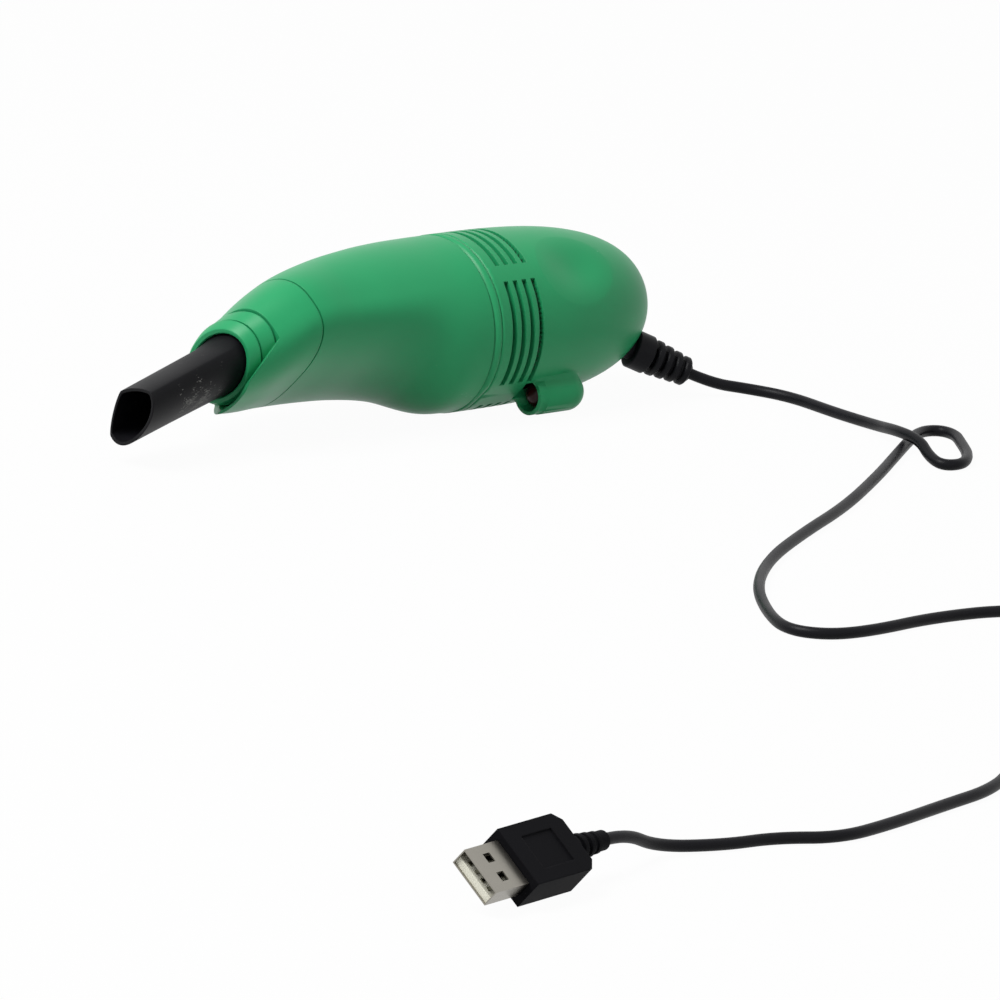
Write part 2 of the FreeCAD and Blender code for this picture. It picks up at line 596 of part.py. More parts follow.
def motor_bracket():
    body = new_body("motor_bracket")
    turn(body, [("bracket_start", "motor_boss + fit_gap"), (MOTOR_START, "motor_boss + fit_gap"),
                (MOTOR_START, "seam_radius - wall - fit_gap"), ("bracket_start", "seam_radius - wall - fit_gap")])
    sketch = new_sketch(body, "screw_holes", "YZ_Plane", "bracket_start")
    draw_circle(sketch, "bracket_screw_place", "0", "bracket_screw_radius + 0.15")
    draw_circle(sketch, "- bracket_screw_place", "0", "bracket_screw_radius + 0.15")
    pocket(body, sketch, "bracket_thickness", reversed_side=True)
    return body


def bracket_screws():
    screws = []
    length = size("bracket_thickness") + 2.2
    for sign in (-1, 1):
        spot = Vector(size("bracket_start"), sign * size("bracket_screw_place"), 0)
        head = Part.makeCylinder(1.9, 1.1, spot, Vector(-1, 0, 0))
        shank = Part.makeCylinder(size("bracket_screw_radius") - 0.05, length, spot, Vector(1, 0, 0))
        screws.append(head.fuse(shank).removeSplitter())
    return feature("bracket_screws", Part.makeCompound(screws))


# ---------------------------------------------------------------- switch, lamp and wires

def switch_body():
    body = new_body("switch_body")
    sketch = new_sketch(body, "case", "XY_Plane", f"{SWITCH_TOP} - switch_height")
    draw_rectangle(sketch, ("switch_place - switch_length / 2", "- switch_half"),
                   ("switch_place + switch_length / 2", "switch_half"))
    pad(body, sketch, "switch_height")
    reach = "( stem_length + thumb_travel ) / 2 + window_play"
    sketch = new_sketch(body, "lever_slot", "XY_Plane", SWITCH_TOP)
    draw_rectangle(sketch, (f"switch_place - ( {reach} )", "- stem_half - window_play"),
                   (f"switch_place + ( {reach} )", "stem_half + window_play"))
    pocket(body, sketch, "switch_height / 2")
    return body


def switch_slider():
    """Thumb piece at the front end of its travel, with a stem down into the switch."""
    body = new_body("switch_slider")
    middle = "( switch_place - thumb_travel / 2 )"
    sketch = new_sketch(body, "thumb", "XY_Plane", "switch_floor + 0.15")
    draw_rectangle(sketch, (f"{middle} - thumb_length / 2", "- thumb_half"),
                   (f"{middle} + thumb_length / 2", "thumb_half"))
    pad(body, sketch, "thumb_height")
    sketch = new_sketch(body, "stem", "XY_Plane", "switch_floor + 0.2")
    draw_rectangle(sketch, (f"{middle} - stem_length / 2", "- stem_half"), (f"{middle} + stem_length / 2", "stem_half"))
    pad(body, sketch, "switch_seat + pin_length * 0.7", reversed_side=True)
    sketch = new_sketch(body, "grips", "XY_Plane", "switch_floor + 0.15 + thumb_height")
    for place in ("- thumb_length * 0.32", "- thumb_length * 0.06", "+ thumb_length * 0.2"):
        draw_rectangle(sketch, (f"{middle} {place}", "- thumb_half - 1"),
                       (f"{middle} {place} + thumb_length * 0.11", "thumb_half + 1"))
    pocket(body, sketch, "thumb_height * 0.3")
    return body


def switch_terminals():
    tabs = []
    for number, place in enumerate(("- 2.2", "- 0.4", "+ 1.4")):
        tab = doc.addObject("Part::Box", f"switch_tab_{number}")
        tab.setExpression("Length", bound("terminal_length"))
        tab.setExpression("Width", bound("terminal_thickness * 1.6"))
        tab.setExpression("Height", bound("terminal_thickness"))
        tab.setExpression("Placement.Base.x", bound("switch_place + switch_length / 2"))
        tab.setExpression("Placement.Base.y", bound(f"0 {place}"))
        tab.setExpression("Placement.Base.z", bound(f"{SWITCH_TOP} - switch_height / 2"))
        tabs.append(tab)
    return group("switch_terminals", tabs)


def lamp_led():
    start = size("pod_start + led_setback")
    radius = size("led_radius")
    centre = Vector(start + radius, 0, -pod_drop)
    length = size("led_length")
    bulb = Part.makeSphere(radius, centre).fuse(Part.makeCylinder(radius, length - radius, centre, Vector(1, 0, 0)))
    rim_spot = Vector(start + length - size("led_rim_thickness"), 0, -pod_drop)
    rim = Part.makeCylinder(size("led_rim"), size("led_rim_thickness"), rim_spot, Vector(1, 0, 0))
    return feature("lamp_led", bulb.fuse(rim).removeSplitter())


def lamp_leads():
    start = size("pod_start + led_setback + led_length")
    radius = size("lamp_lead_radius")
    leads = []
    for sign, top in ((-1, -14.6), (1, -18.2)):
        y = sign * size("lamp_lead_spread")
        bend = Vector(start + 2 * radius, y, -pod_drop)
        level = Part.makeCylinder(radius, 2 * radius, Vector(start, y, -pod_drop), Vector(1, 0, 0))
        rise = Part.makeCylinder(radius, top + pod_drop, bend, Vector(0, 0, 1))
        leads.append(level.fuse([Part.makeSphere(radius, bend), rise]).removeSplitter())
    return feature("lamp_leads", Part.makeCompound(leads))


def lamp_resistor():
    spot = Vector(size("pod_start + led_setback + led_length + 2 * lamp_lead_radius"), size("lamp_lead_spread"), -18.2)
    return feature("lamp_resistor", Part.makeCylinder(0.85, 3.0, spot, Vector(0, 0, 1)))


def wire_through(label, points, radius=0.55):
    curve = Part.BSplineCurve()
    curve.interpolate(Points=points)
    path = Part.Wire([curve.toShape()])
    start = curve.tangent(0)[0]
    ring = Part.Wire([Part.Circle(points[0], start, radius).toShape()])
    return feature(label, path.makePipeShell([ring], True, False))


def inner_wires():
    """One wire from the lead to the switch and one from the lead to the motor."""
    entry = relief_axis.multVec(Vector(-4.1, 0, 0))
    behind = size(f"{MOTOR_END} + motor_cap + terminal_length")
    tab_height = size(f"{SWITCH_TOP} - switch_height / 2")
    tab_end = size("switch_place + switch_length / 2 + terminal_length")
    red = [entry + Vector(0, 1.3, 0), Vector(behind + 3.4, 2.2, -7), Vector(behind - 0.9, 2.8, 0),
           Vector(behind - 1.1, 2.6, 10.5), Vector(behind - 4.3, 1.8, 14.5),
           Vector(tab_end + 0.5, 1.2, tab_height + 0.2)]
    black = [entry + Vector(0, -1.3, 0), Vector(behind + 3.0, -3.6, -6.5),
             Vector(behind + 0.6, -size("terminal_place"), 0)]
    return [wire_through("wire_red", red), wire_through("wire_black", black)]


def housing_screws():
    screws = []
    for spot in SCREW_PLACES:
        seat = size("screw_seat")
        head = across_cylinder(size("screw_head"), spot, seat, seat + size("screw_head_height"))
        shank = across_cylinder(size("pilot_radius") - 0.05, spot, seat - size("screw_length"), seat)
        slot_y = seat + size("screw_head_height") - 0.7
        screw = head.fuse(shank)
        for wide, tall in ((2.2, 0.6), (0.6, 2.2)):
            corner = Vector(spot[0] - wide / 2, slot_y, spot[1] - tall / 2)
            screw = screw.cut(Part.makeBox(wide, 1.0, tall, corner))
        screws.append(screw)
    return feature("housing_screws", Part.makeCompound(screws))


def strain_relief():
    """Moulded on the lead: a flange inside the wall, a neck through it, a base block and round ribs."""
    body = new_body("strain_relief")
    outline = [("- 3.7", "0"), ("- 3.7", "relief_base"), ("- 2.2", "relief_base"), ("- 2.2", "relief_neck"),
               ("- 0.4", "relief_neck"), ("- 0.4", "relief_base"), ("relief_base_length - 0.4", "relief_base")]
    count = int(size("relief_ribs"))
    for i in range(count):
        start = f"relief_base_length - 0.4 + {i} * relief_pitch"
        rib = f"relief_rib - {i} * ( relief_rib - relief_tip ) / ( relief_ribs - 1 )"
        rise = f"{start} + relief_pitch - relief_rib_width"
        outline += [(start, "relief_groove"), (rise, "relief_groove"), (rise, f"{rib} - 0.3"),
                    (f"{rise} + 0.4", rib), (f"{start} + relief_pitch - 0.4", rib),
                    (f"{start} + relief_pitch", f"{rib} - 0.3")]
    end = "relief_base_length - 0.4 + relief_ribs * relief_pitch"
    outline += [(end, "relief_groove * 0.85"), (f"{end} + 0.8", "relief_groove * 0.8"), (f"{end} + 0.8", "0")]
    turn(body, outline)
    return body


RELIEF_END = "( relief_base_length + 0.4 + relief_ribs * relief_pitch )"


# ---------------------------------------------------------------- USB plug, in a frame with +X out of its mouth

def plug_body():
    body = new_body("plug_body")
    sketch = new_sketch(body, "plan", "XY_Plane")
    half = "plug_width / 2"
    draw_outline(sketch, [("0", f"- {half}"), ("0", half), ("- plug_length + plug_chamfer", half),
                          ("- plug_length", f"{half} - plug_chamfer"), ("- plug_length", f"- {half} + plug_chamfer"),
                          ("- plug_length + plug_chamfer", f"- {half}")])
    pad(body, sketch, "plug_height", midplane=True)
    outline = [("- plug_length + 1", "0"), ("- plug_length + 1", "plug_tail_radius")]
    step = "( plug_tail / ( plug_rings + 0.5 ) )"
    for i in range(int(size("plug_rings"))):
        start = f"- plug_length - {i} * {step}"
        ring = f"plug_tail_radius - {i} * ( plug_tail_radius - plug_tip_radius ) / plug_rings"
        outline += [(f"{start} - {step} * 0.45", ring), (f"{start} - {step} * 0.45", "plug_tip_radius"),
                    (f"{start} - {step}", "plug_tip_radius")]
        if i + 1 < int(size("plug_rings")):
            lower = f"plug_tail_radius - {i + 1} * ( plug_tail_radius - plug_tip_radius ) / plug_rings"
            outline.append((f"{start} - {step}", lower))
    outline += [("- plug_length - plug_tail", "plug_tip_radius"), ("- plug_length - plug_tail", "0")]
    turn(body, outline, "tail")
    mouth = new_sketch(body, "seat", "YZ_Plane")
    draw_rectangle(mouth, ("- usb_width / 2", "- usb_height / 2"), ("usb_width / 2", "usb_height / 2"))
    pocket(body, mouth, "usb_insert")
    panel = new_sketch(body, "panel", "XY_Plane", "plug_height / 2")
    draw_rectangle(panel, ("- plug_length / 2 - panel_length / 2", "- panel_half"),
                   ("- plug_length / 2 + panel_length / 2", "panel_half"))
    pocket(body, panel, "panel_depth")
    return body


def plug_shell():
    body = new_body("plug_shell")
    sketch = new_sketch(body, "tube", "YZ_Plane", "- usb_insert")
    draw_rectangle(sketch, ("- usb_width / 2", "- usb_height / 2"), ("usb_width / 2", "usb_height / 2"))
    draw_rectangle(sketch, ("- usb_width / 2 + usb_sheet", "- usb_height / 2 + usb_sheet"),
                   ("usb_width / 2 - usb_sheet", "usb_height / 2 - usb_sheet"))
    pad(body, sketch, "usb_insert + usb_length")
    windows = new_sketch(body, "windows", "XY_Plane")
    for sign in ("-", ""):
        middle = f"{sign} window_spread"
        draw_rectangle(windows, ("window_reach", f"{middle} - window_side / 2"),
                       ("window_reach + window_side", f"{middle} + window_side / 2"))
    pocket(body, windows, "usb_height + 2", midplane=True)
    return body


def plug_insulator():
    body = new_body("plug_insulator")
    sketch = new_sketch(body, "tongue", "XY_Plane", "- usb_height / 2 + usb_sheet")
    draw_rectangle(sketch, ("- usb_insert", "- usb_width / 2 + usb_sheet"),
                   ("usb_length - 0.5", "usb_width / 2 - usb_sheet"))
    pad(body, sketch, "tongue_height")
    return body


def plug_contacts():
    strips = []
    for number in range(4):
        strip = doc.addObject("Part::Box", f"contact_{number}")
        strip.setExpression("Length", bound("usb_length - 2.5"))
        strip.setExpression("Width", bound("contact_width"))
        strip.setExpression("Height", bound("contact_thickness"))
        strip.Placement.Base = Vector(1, 0, 0)
        strip.setExpression("Placement.Base.y", bound(f"{number - 1.5} * contact_pitch - contact_width / 2"))
        strip.setExpression("Placement.Base.z", bound("- usb_height / 2 + usb_sheet + tongue_height"))
        strips.append(strip)
    return group("plug_contacts", strips)


# ---------------------------------------------------------------- make every piece

tool_pieces = [feature("dust_chamber", dust_chamber()), feature("nose_cone", nose_cone()),
               feature("nozzle_collar", nozzle_collar()), feature("crevice_nozzle", crevice_nozzle()),
               feature("rear_shell_left", rear_shell(-1)), feature("rear_shell_right", rear_shell(1)),
               filter_frame(), filter_cloth(), fan_cover(), impeller(), motor_shaft(), motor_can(), motor_bushing(),
               motor_end_cap(), motor_terminals(), motor_bracket(), bracket_screws(), switch_body(), switch_slider(),
               switch_terminals(), lamp_led(), lamp_leads(), lamp_resistor(), housing_screws()]
tool_pieces += inner_wires()
relief = strain_relief()
plug_pieces = [plug_body(), plug_shell(), plug_insulator(), plug_contacts()]
doc.recompute()

# Lay the tool down: rolled over until the pod and the belly both touch the table, and the origin put at the
# bottom centre of the box round it.
rolled = Placement(Vector(0, 0, 0), Rotation(Vector(1, 0, 0), -size("roll_angle")))


def corners_after(placement, shapes):
    points = []
    for shape in shapes:
        moved = shape.copy()
        moved.Placement = placement.multiply(moved.Placement)
        points += moved.tessellate(0.05)[0]
    return ([min(p[i] for p in points) for i in range(3)], [max(p[i] for p in points) for i in range(3)])


relief_placement = relief_axis
relief_shape = relief.Shape.copy()
relief_shape.Placement = relief_placement.multiply(relief_shape.Placement)
outside = [piece.Shape for piece in tool_pieces[:6]] + [relief_shape]
low, high = corners_after(rolled, outside)
lying = Placement(Vector(-(low[0] + high[0]) / 2, -(low[1] + high[1]) / 2, -low[2]), rolled.Rotation)
for piece in tool_pieces:
    piece.Placement = lying.multiply(piece.Placement)
relief.Placement = lying.multiply(relief_placement)

# The plug lies on its long edge, on its lead's own stiffness, ahead of the tool.
PLUG_SPOT = Vector(-272.0, -350.0, 8.05)
PLUG_HEADING = 192.0
PLUG_ROLL = 40.0
turned = Rotation(Vector(0, 0, 1), PLUG_HEADING).multiply(Rotation(Vector(1, 0, 0), -PLUG_ROLL))
plug_placement = Placement(PLUG_SPOT, turned)
for piece in plug_pieces:
    piece.Placement = plug_placement.multiply(piece.Placement)


# ---------------------------------------------------------------- lead

cord_radius = size("cord_diameter / 2")
lead_start = relief.Placement.multVec(Vector(size(RELIEF_END), 0, 0))
plug_end = plug_placement.multVec(Vector(-size("plug_length + plug_tail"), 0, 0))
COIL_CENTRE = Vector(-35.0, -292.0, 0)

# From the strain relief: off the table for the first stretch, a small loop whose incoming strand passes over,
# then a wide bend out to the coil.
LEAD_ROUTE = [
    lead_start, relief.Placement.multVec(Vector(size(RELIEF_END) + 7.0, 0, 0)), Vector(102.5, -22.5, 1.5), Vector(108.5, -32.5, 1.4),
    Vector(107.0, -48.0, 1.4), Vector(104.0, -63.0, 1.8), Vector(103.0, -78.0, 4.7), Vector(101.0, -88.0, 4.6),
    Vector(95.5, -96.0, 1.9), Vector(97.0, -103.0, 1.4), Vector(104.5, -101.5, 1.4), Vector(112.5, -91.5, 1.4),
    Vector(119.0, -82.0, 1.4), Vector(118.0, -76.0, 1.4), Vector(111.0, -75.5, 1.4), Vector(101.5, -81.5, 1.4),
    Vector(87.0, -92.0, 1.4), Vector(67.0, -106.5, 1.4), Vector(42.0, -123.0, 1.4), Vector(14.0, -138.0, 1.4),
    Vector(-11.0, -153.0, 1.4), Vector(-32.0, -171.0, 1.4), Vector(-47.0, -191.0, 1.4), Vector(-54.0, -205.0, 1.4),
    Vector(-48.5, -213.5, 1.4), Vector(-36.0, -215.5, 1.4), Vector(-14.0, -213.0, 1.4), Vector(9.0, -216.0, 1.4),
    Vector(25.0, -232.0, 1.4), Vector(20.0, -254.0, 1.4), Vector(-3.0, -268.0, 1.4), Vector(-26.0, -273.5, 1.4),
]
# From the coil to the plug's tail.
TAIL_ROUTE = [
    Vector(-40.0, -310.5, 1.4), Vector(-61.0, -319.5, 1.4), Vector(-85.0, -331.0, 1.4), Vector(-108.0, -334.5, 1.4),
    Vector(-130.0, -339.0, 1.4), Vector(-152.0, -345.0, 1.4), Vector(-171.0, -348.5, 1.4),
    Vector(-184.0, -341.5, 1.4), Vector(-199.0, -340.5, 1.4), Vector(-215.5, -336.5, 2.2),
    plug_placement.multVec(Vector(-size("plug_length + plug_tail") - 9.0, 0, 0)), plug_end,
]


def cord_tube(label, route):
    """Straight runs joined by arcs that are tangent to them, in the lead's round section."""
    start = route[0]
    stretches = []
    radii = []
    length = 0.0
    for before, corner, after in zip(route, route[1:], route[2:]):
        back, ahead = before - corner, after - corner
        shorter = min(back.Length, ahead.Length)
        bend = math.pi - back.getAngle(ahead)
        radius = 0.45 * shorter / math.tan(bend / 2)
        radii.append(round(radius, 1))
        back.normalize()
        ahead.normalize()
        arc_start = corner + back * (0.45 * shorter)
        inward = (back + ahead).normalize()
        centre = corner + inward * (radius / math.cos(bend / 2))
        disc = Part.Face(Part.Wire([Part.Circle(arc_start, back, cord_radius).toShape()]))
        stretches.append(Part.makeCylinder(cord_radius, (arc_start - start).Length, start, arc_start - start))
        stretches.append(disc.revolve(centre, back.cross(ahead), -math.degrees(bend)))
        length += (arc_start - start).Length + radius * bend
        start = corner + ahead * (0.45 * shorter)
    last = route[-1] - start
    stretches.append(Part.makeCylinder(cord_radius, last.Length, start, last))
    length += last.Length
    tube = stretches[0].multiFuse(stretches[1:]).removeSplitter()
    print(label, [tuple(round(c, 1) for c in point) for point in (route[0], route[1], route[-2], route[-1])])
    print(label, "length", round(length, 1), "volume over section times length",
          round(tube.Volume / (math.pi * cord_radius ** 2 * length), 4), "radii", radii)
    return tube


def coil_ring():
    """The outer shape of the coil: its turns lie side by side in layers, a diameter apart."""
    across = math.ceil(size("coil_turns / coil_layers")) * size("cord_diameter")
    low = size("coil_middle_radius") - across / 2
    high = size("coil_middle_radius") + across / 2
    tall = size("coil_layers * cord_diameter")
    outer = Part.makeCylinder(high, tall, COIL_CENTRE)
    return outer.cut(Part.makeCylinder(low, tall, COIL_CENTRE))


ring = coil_ring()
cord_pieces = [feature("cord_lead", cord_tube("cord_lead", LEAD_ROUTE).cut(ring)),
               feature("cord_coil", ring), feature("cord_tail", cord_tube("cord_tail", TAIL_ROUTE).cut(ring))]

# ---------------------------------------------------------------- check and write

doc.recompute()
broken = [item.Name for item in doc.Objects if "Invalid" in item.State or "Error" in item.State]
if broken:
    raise RuntimeError(f"features that failed: {broken}")
os.makedirs("parts", exist_ok=True)
for piece in tool_pieces + [relief] + cord_pieces + plug_pieces:
    shape = piece.Shape
    if shape.isNull() or not shape.isValid() or not shape.Solids:
        raise RuntimeError(f"{piece.Label} is not a valid solid")
    shape.exportStep(f"parts/{piece.Label}.step")
    print(piece.Label, len(shape.Solids), round(shape.Volume, 1))
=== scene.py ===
import json
import math

import bmesh
import bpy
from mathutils import Matrix, Vector


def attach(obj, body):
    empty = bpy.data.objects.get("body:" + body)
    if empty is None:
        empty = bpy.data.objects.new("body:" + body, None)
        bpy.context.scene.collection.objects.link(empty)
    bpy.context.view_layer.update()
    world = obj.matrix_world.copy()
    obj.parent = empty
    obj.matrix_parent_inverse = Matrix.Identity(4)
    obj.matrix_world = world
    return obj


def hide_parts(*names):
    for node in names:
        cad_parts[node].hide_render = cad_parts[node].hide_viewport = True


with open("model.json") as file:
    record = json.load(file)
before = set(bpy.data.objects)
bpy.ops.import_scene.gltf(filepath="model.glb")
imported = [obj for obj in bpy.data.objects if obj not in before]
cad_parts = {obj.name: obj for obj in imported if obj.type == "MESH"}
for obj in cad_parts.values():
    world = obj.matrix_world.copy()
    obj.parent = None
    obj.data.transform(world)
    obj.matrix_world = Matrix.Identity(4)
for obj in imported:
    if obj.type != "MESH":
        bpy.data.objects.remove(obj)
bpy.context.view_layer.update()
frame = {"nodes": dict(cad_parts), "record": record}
nodes = frame["nodes"]
print("frame loaded:", len(nodes), "CAD nodes")

toolCentre = Vector((0.017088, 0.000197, 0.022476))  # centre of the seam between chamber and rear housing
toolRoll = math.radians(44.5)
# from the tool's own frame: millimetres from the seam's centre, +X to the rear, +Z up before it is rolled
toolFrame = Matrix.Translation(toolCentre) @ Matrix.Rotation(-toolRoll, 4, "X") @ Matrix.Scale(0.001, 4)


def addObject(name, data):
    item = bpy.data.objects.new(name, data)
    bpy.context.scene.collection.objects.link(item)
    return item


cameraSetup = {
    "azimuth": -42.5,
    "elevation": 13.0,
    "roll": -3.9,
    "distance": 3.6,
    "lens": 527.5,
    "sensor": 36.0,
    "frame": 1000,  # pixels along each side of the picture
    "seamPixel": (435.5, 324.0),  # where the tool's centre falls, from the top left
    "clipEnd": 20.0,
}


def makeCamera(setup):
    azimuth = math.radians(setup["azimuth"])
    elevation = math.radians(setup["elevation"])
    roll = math.radians(setup["roll"])
    right = Vector((math.cos(azimuth), math.sin(azimuth), 0))
    level = math.cos(elevation)
    back = Vector((math.sin(azimuth) * level, -math.cos(azimuth) * level, math.sin(elevation)))
    up = back.cross(right)
    across = right * math.cos(roll) - up * math.sin(roll)
    upward = right * math.sin(roll) + up * math.cos(roll)
    focal = setup["lens"] / setup["sensor"] * setup["frame"]
    half = setup["frame"] / 2
    seamX, seamY = setup["seamPixel"]
    view = (across * (half - seamX) + upward * (seamY - half) - back * focal).normalized()
    across = (across - view * across.dot(view)).normalized()
    turned = Matrix((across, across.cross(view), view * -1)).transposed().to_4x4()
    camera = addObject("camera", bpy.data.cameras.new("camera"))
    camera.data.lens = setup["lens"]
    camera.data.sensor_width = setup["sensor"]
    camera.data.clip_end = setup["clipEnd"]
    camera.matrix_world = Matrix.Translation(toolCentre + back * setup["distance"]) @ turned
    bpy.context.scene.camera = camera


makeCamera(cameraSetup)
print("camera placed")


def newMaterial(name):
    material = bpy.data.materials.new(name)
    material.use_nodes = True
    tree = material.node_tree
    shader = tree.nodes["Principled BSDF"]
    return material, tree, shader


def addNode(tree, kind, settings=None, inputs=None):
    node = tree.nodes.new(kind)
    for key, value in (settings or {}).items():
        setattr(node, key, value)
    for key, value in (inputs or {}).items():
        if isinstance(value, bpy.types.NodeSocket):
            tree.links.new(value, node.inputs[key])
        else:
            node.inputs[key].default_value = value
    return node


def newGroup(name, takes, gives):
    group = bpy.data.node_groups.new(name, "ShaderNodeTree")
    for label, kind, value in takes:
        socket = group.interface.new_socket(name=label, in_out="INPUT", socket_type=kind)
        if value is not None:
            socket.default_value = value
    for label, kind in gives:
        group.interface.new_socket(name=label, in_out="OUTPUT", socket_type=kind)
    start = group.nodes.new("NodeGroupInput")
    end = group.nodes.new("NodeGroupOutput")
    return group, start, end


def mathNode(tree, operation, first, second=0.0, third=0.0):
    node = addNode(tree, "ShaderNodeMath", {"operation": operation}, {0: first, 1: second, 2: third})
    return node.outputs[0]


def noiseNode(tree, place, scale, detail):
    inputs = {"Vector": place, "Scale": scale, "Detail": detail}
    return addNode(tree, "ShaderNodeTexNoise", inputs=inputs).outputs["Fac"]


def rangeNode(tree, value, low, high, least=0.0, most=1.0, curve="LINEAR"):
    inputs = {"Value": value, "From Min": low, "From Max": high, "To Min": least, "To Max": most}
    return addNode(tree, "ShaderNodeMapRange", {"interpolation_type": curve}, inputs).outputs["Result"]


mouldingSetup = {
    "slowScale": 45.0,
    "slowDetail": 3.0,
    "slowRange": (0.3, 0.7),
    "fineDetail": 2.0,
    "roughnessSwing": 0.04,
    "bumpDistance": 0.0001,
}
scuffSetup = {
    "turn": (0.6, 0.35, 0.5),  # the way that the scratches run
    "stretch": (0.25, 1.0, 1.0),
    "speckDetail": 4.0,
    "patchScale": 260.0,
    "patchDetail": 2.0,
    "line": 0.5,  # a speck shows where the two noises together pass this line
    "lineDrop": 0.22,  # how much lower the line lies at the spot
    "softness": 0.05,
    "strength": 0.7,
    "roughness": 0.3,  # how much rougher a speck is
}


def makeMouldingGroup(setup):  # slow change of shade and a fine skin, as moulded plastic and rubber have
    group, start, end = newGroup(
        "moulding",
        [("Colour", "NodeSocketColor", (0.5, 0.5, 0.5, 1)), ("Shade", "NodeSocketFloat", 0.1),
         ("Roughness", "NodeSocketFloat", 0.4), ("Grain", "NodeSocketFloat", 2600.0),
         ("Relief", "NodeSocketFloat", 0.04)],
        [("Colour", "NodeSocketColor"), ("Roughness", "NodeSocketFloat"), ("Height", "NodeSocketFloat")])
    place = addNode(group, "ShaderNodeTexCoord").outputs["Object"]
    slow = noiseNode(group, place, setup["slowScale"], setup["slowDetail"])
    fine = noiseNode(group, place, start.outputs["Grain"], setup["fineDetail"])
    lift = rangeNode(group, slow, *setup["slowRange"], -1.0, 1.0)
    amount = mathNode(group, "MULTIPLY_ADD", lift, start.outputs["Shade"], 1.0)
    shaded = addNode(group, "ShaderNodeVectorMath", {"operation": "SCALE"},
                     {0: start.outputs["Colour"], "Scale": amount})
    rough = mathNode(group, "MULTIPLY_ADD", lift, setup["roughnessSwing"], start.outputs["Roughness"])
    height = mathNode(group, "MULTIPLY", fine, start.outputs["Relief"])
    group.links.new(shaded.outputs[0], end.inputs["Colour"])
    group.links.new(rough, end.inputs["Roughness"])
    group.links.new(height, end.inputs["Height"])
    return group


def makeScuffGroup(setup):  # pale specks and short scratches, thick near one spot and rare elsewhere
    group, start, end = newGroup(
        "scuffs",
        [("Colour", "NodeSocketColor", (0.5, 0.5, 0.5, 1)), ("Worn", "NodeSocketColor", (0.8, 0.8, 0.8, 1)),
         ("Spot", "NodeSocketVector", (0, 0, 0)), ("Reach", "NodeSocketFloat", 0.01),
         ("Scale", "NodeSocketFloat", 900.0), ("Amount", "NodeSocketFloat", 0.5),
         ("Rare", "NodeSocketFloat", 0.02)],
        [("Colour", "NodeSocketColor"), ("Mask", "NodeSocketFloat")])
    place = addNode(group, "ShaderNodeTexCoord").outputs["Object"]
    away = addNode(group, "ShaderNodeVectorMath", {"operation": "DISTANCE"},
                   {0: place, 1: start.outputs["Spot"]}).outputs["Value"]
    near = rangeNode(group, away, start.outputs["Reach"], 0.0, start.outputs["Rare"],
                     start.outputs["Amount"], "SMOOTHSTEP")
    drawn = addNode(group, "ShaderNodeMapping", inputs={"Vector": place, "Rotation": setup["turn"],
                                                        "Scale": setup["stretch"]}).outputs["Vector"]
    speck = noiseNode(group, drawn, start.outputs["Scale"], setup["speckDetail"])
    patch = noiseNode(group, place, setup["patchScale"], setup["patchDetail"])
    both = mathNode(group, "MULTIPLY", speck, patch)
    line = mathNode(group, "MULTIPLY_ADD", near, -setup["lineDrop"], setup["line"])
    over = mathNode(group, "SUBTRACT", both, line)
    share = mathNode(group, "MULTIPLY", rangeNode(group, over, 0.0, setup["softness"]), setup["strength"])
    worn = addNode(group, "ShaderNodeMix", {"data_type": "RGBA"})
    group.links.new(share, worn.inputs[0])
    group.links.new(start.outputs["Colour"], worn.inputs[6])
    group.links.new(start.outputs["Worn"], worn.inputs[7])
    group.links.new(worn.outputs[2], end.inputs["Colour"])
    group.links.new(share, end.inputs["Mask"])
    return group


mouldingGroup = makeMouldingGroup(mouldingSetup)
scuffGroup = makeScuffGroup(scuffSetup)


def mouldedMaterial(name, look):
    material, tree, shader = newMaterial(name)
    skin = addNode(tree, "ShaderNodeGroup", {"node_tree": mouldingGroup}, {
        "Colour": (*look["colour"], 1), "Shade": look["shade"], "Roughness": look["roughness"],
        "Grain": look["grain"], "Relief": look["relief"]})
    colour, rough = skin.outputs["Colour"], skin.outputs["Roughness"]
    if "worn" in look:
        scuffs = addNode(tree, "ShaderNodeGroup", {"node_tree": scuffGroup}, {
            "Colour": colour, "Worn": (*look["worn"], 1), "Spot": look["spot"], "Reach": look["reach"],
            "Scale": look["speckScale"], "Amount": look["amount"], "Rare": look["rare"]})
        colour = scuffs.outputs["Colour"]
        rough = mathNode(tree, "MULTIPLY_ADD", scuffs.outputs["Mask"], scuffSetup["roughness"], rough)
    bump = addNode(tree, "ShaderNodeBump", inputs={"Height": skin.outputs["Height"],
                                                   "Distance": mouldingSetup["bumpDistance"],
                                                   "Strength": look.get("bump", 0.3)})
    if look.get("edge"):
        edge = addNode(tree, "ShaderNodeBevel", {"samples": 4}, {"Radius": look["edge"]})
        tree.links.new(edge.outputs["Normal"], bump.inputs["Normal"])
    tree.links.new(colour, shader.inputs["Base Color"])
    tree.links.new(rough, shader.inputs["Roughness"])
    tree.links.new(bump.outputs["Normal"], shader.inputs["Normal"])
    shader.inputs["Metallic"].default_value = look.get("metallic", 0.0)
    shader.inputs["Specular IOR Level"].default_value = look.get("specular", 0.5)
    return material


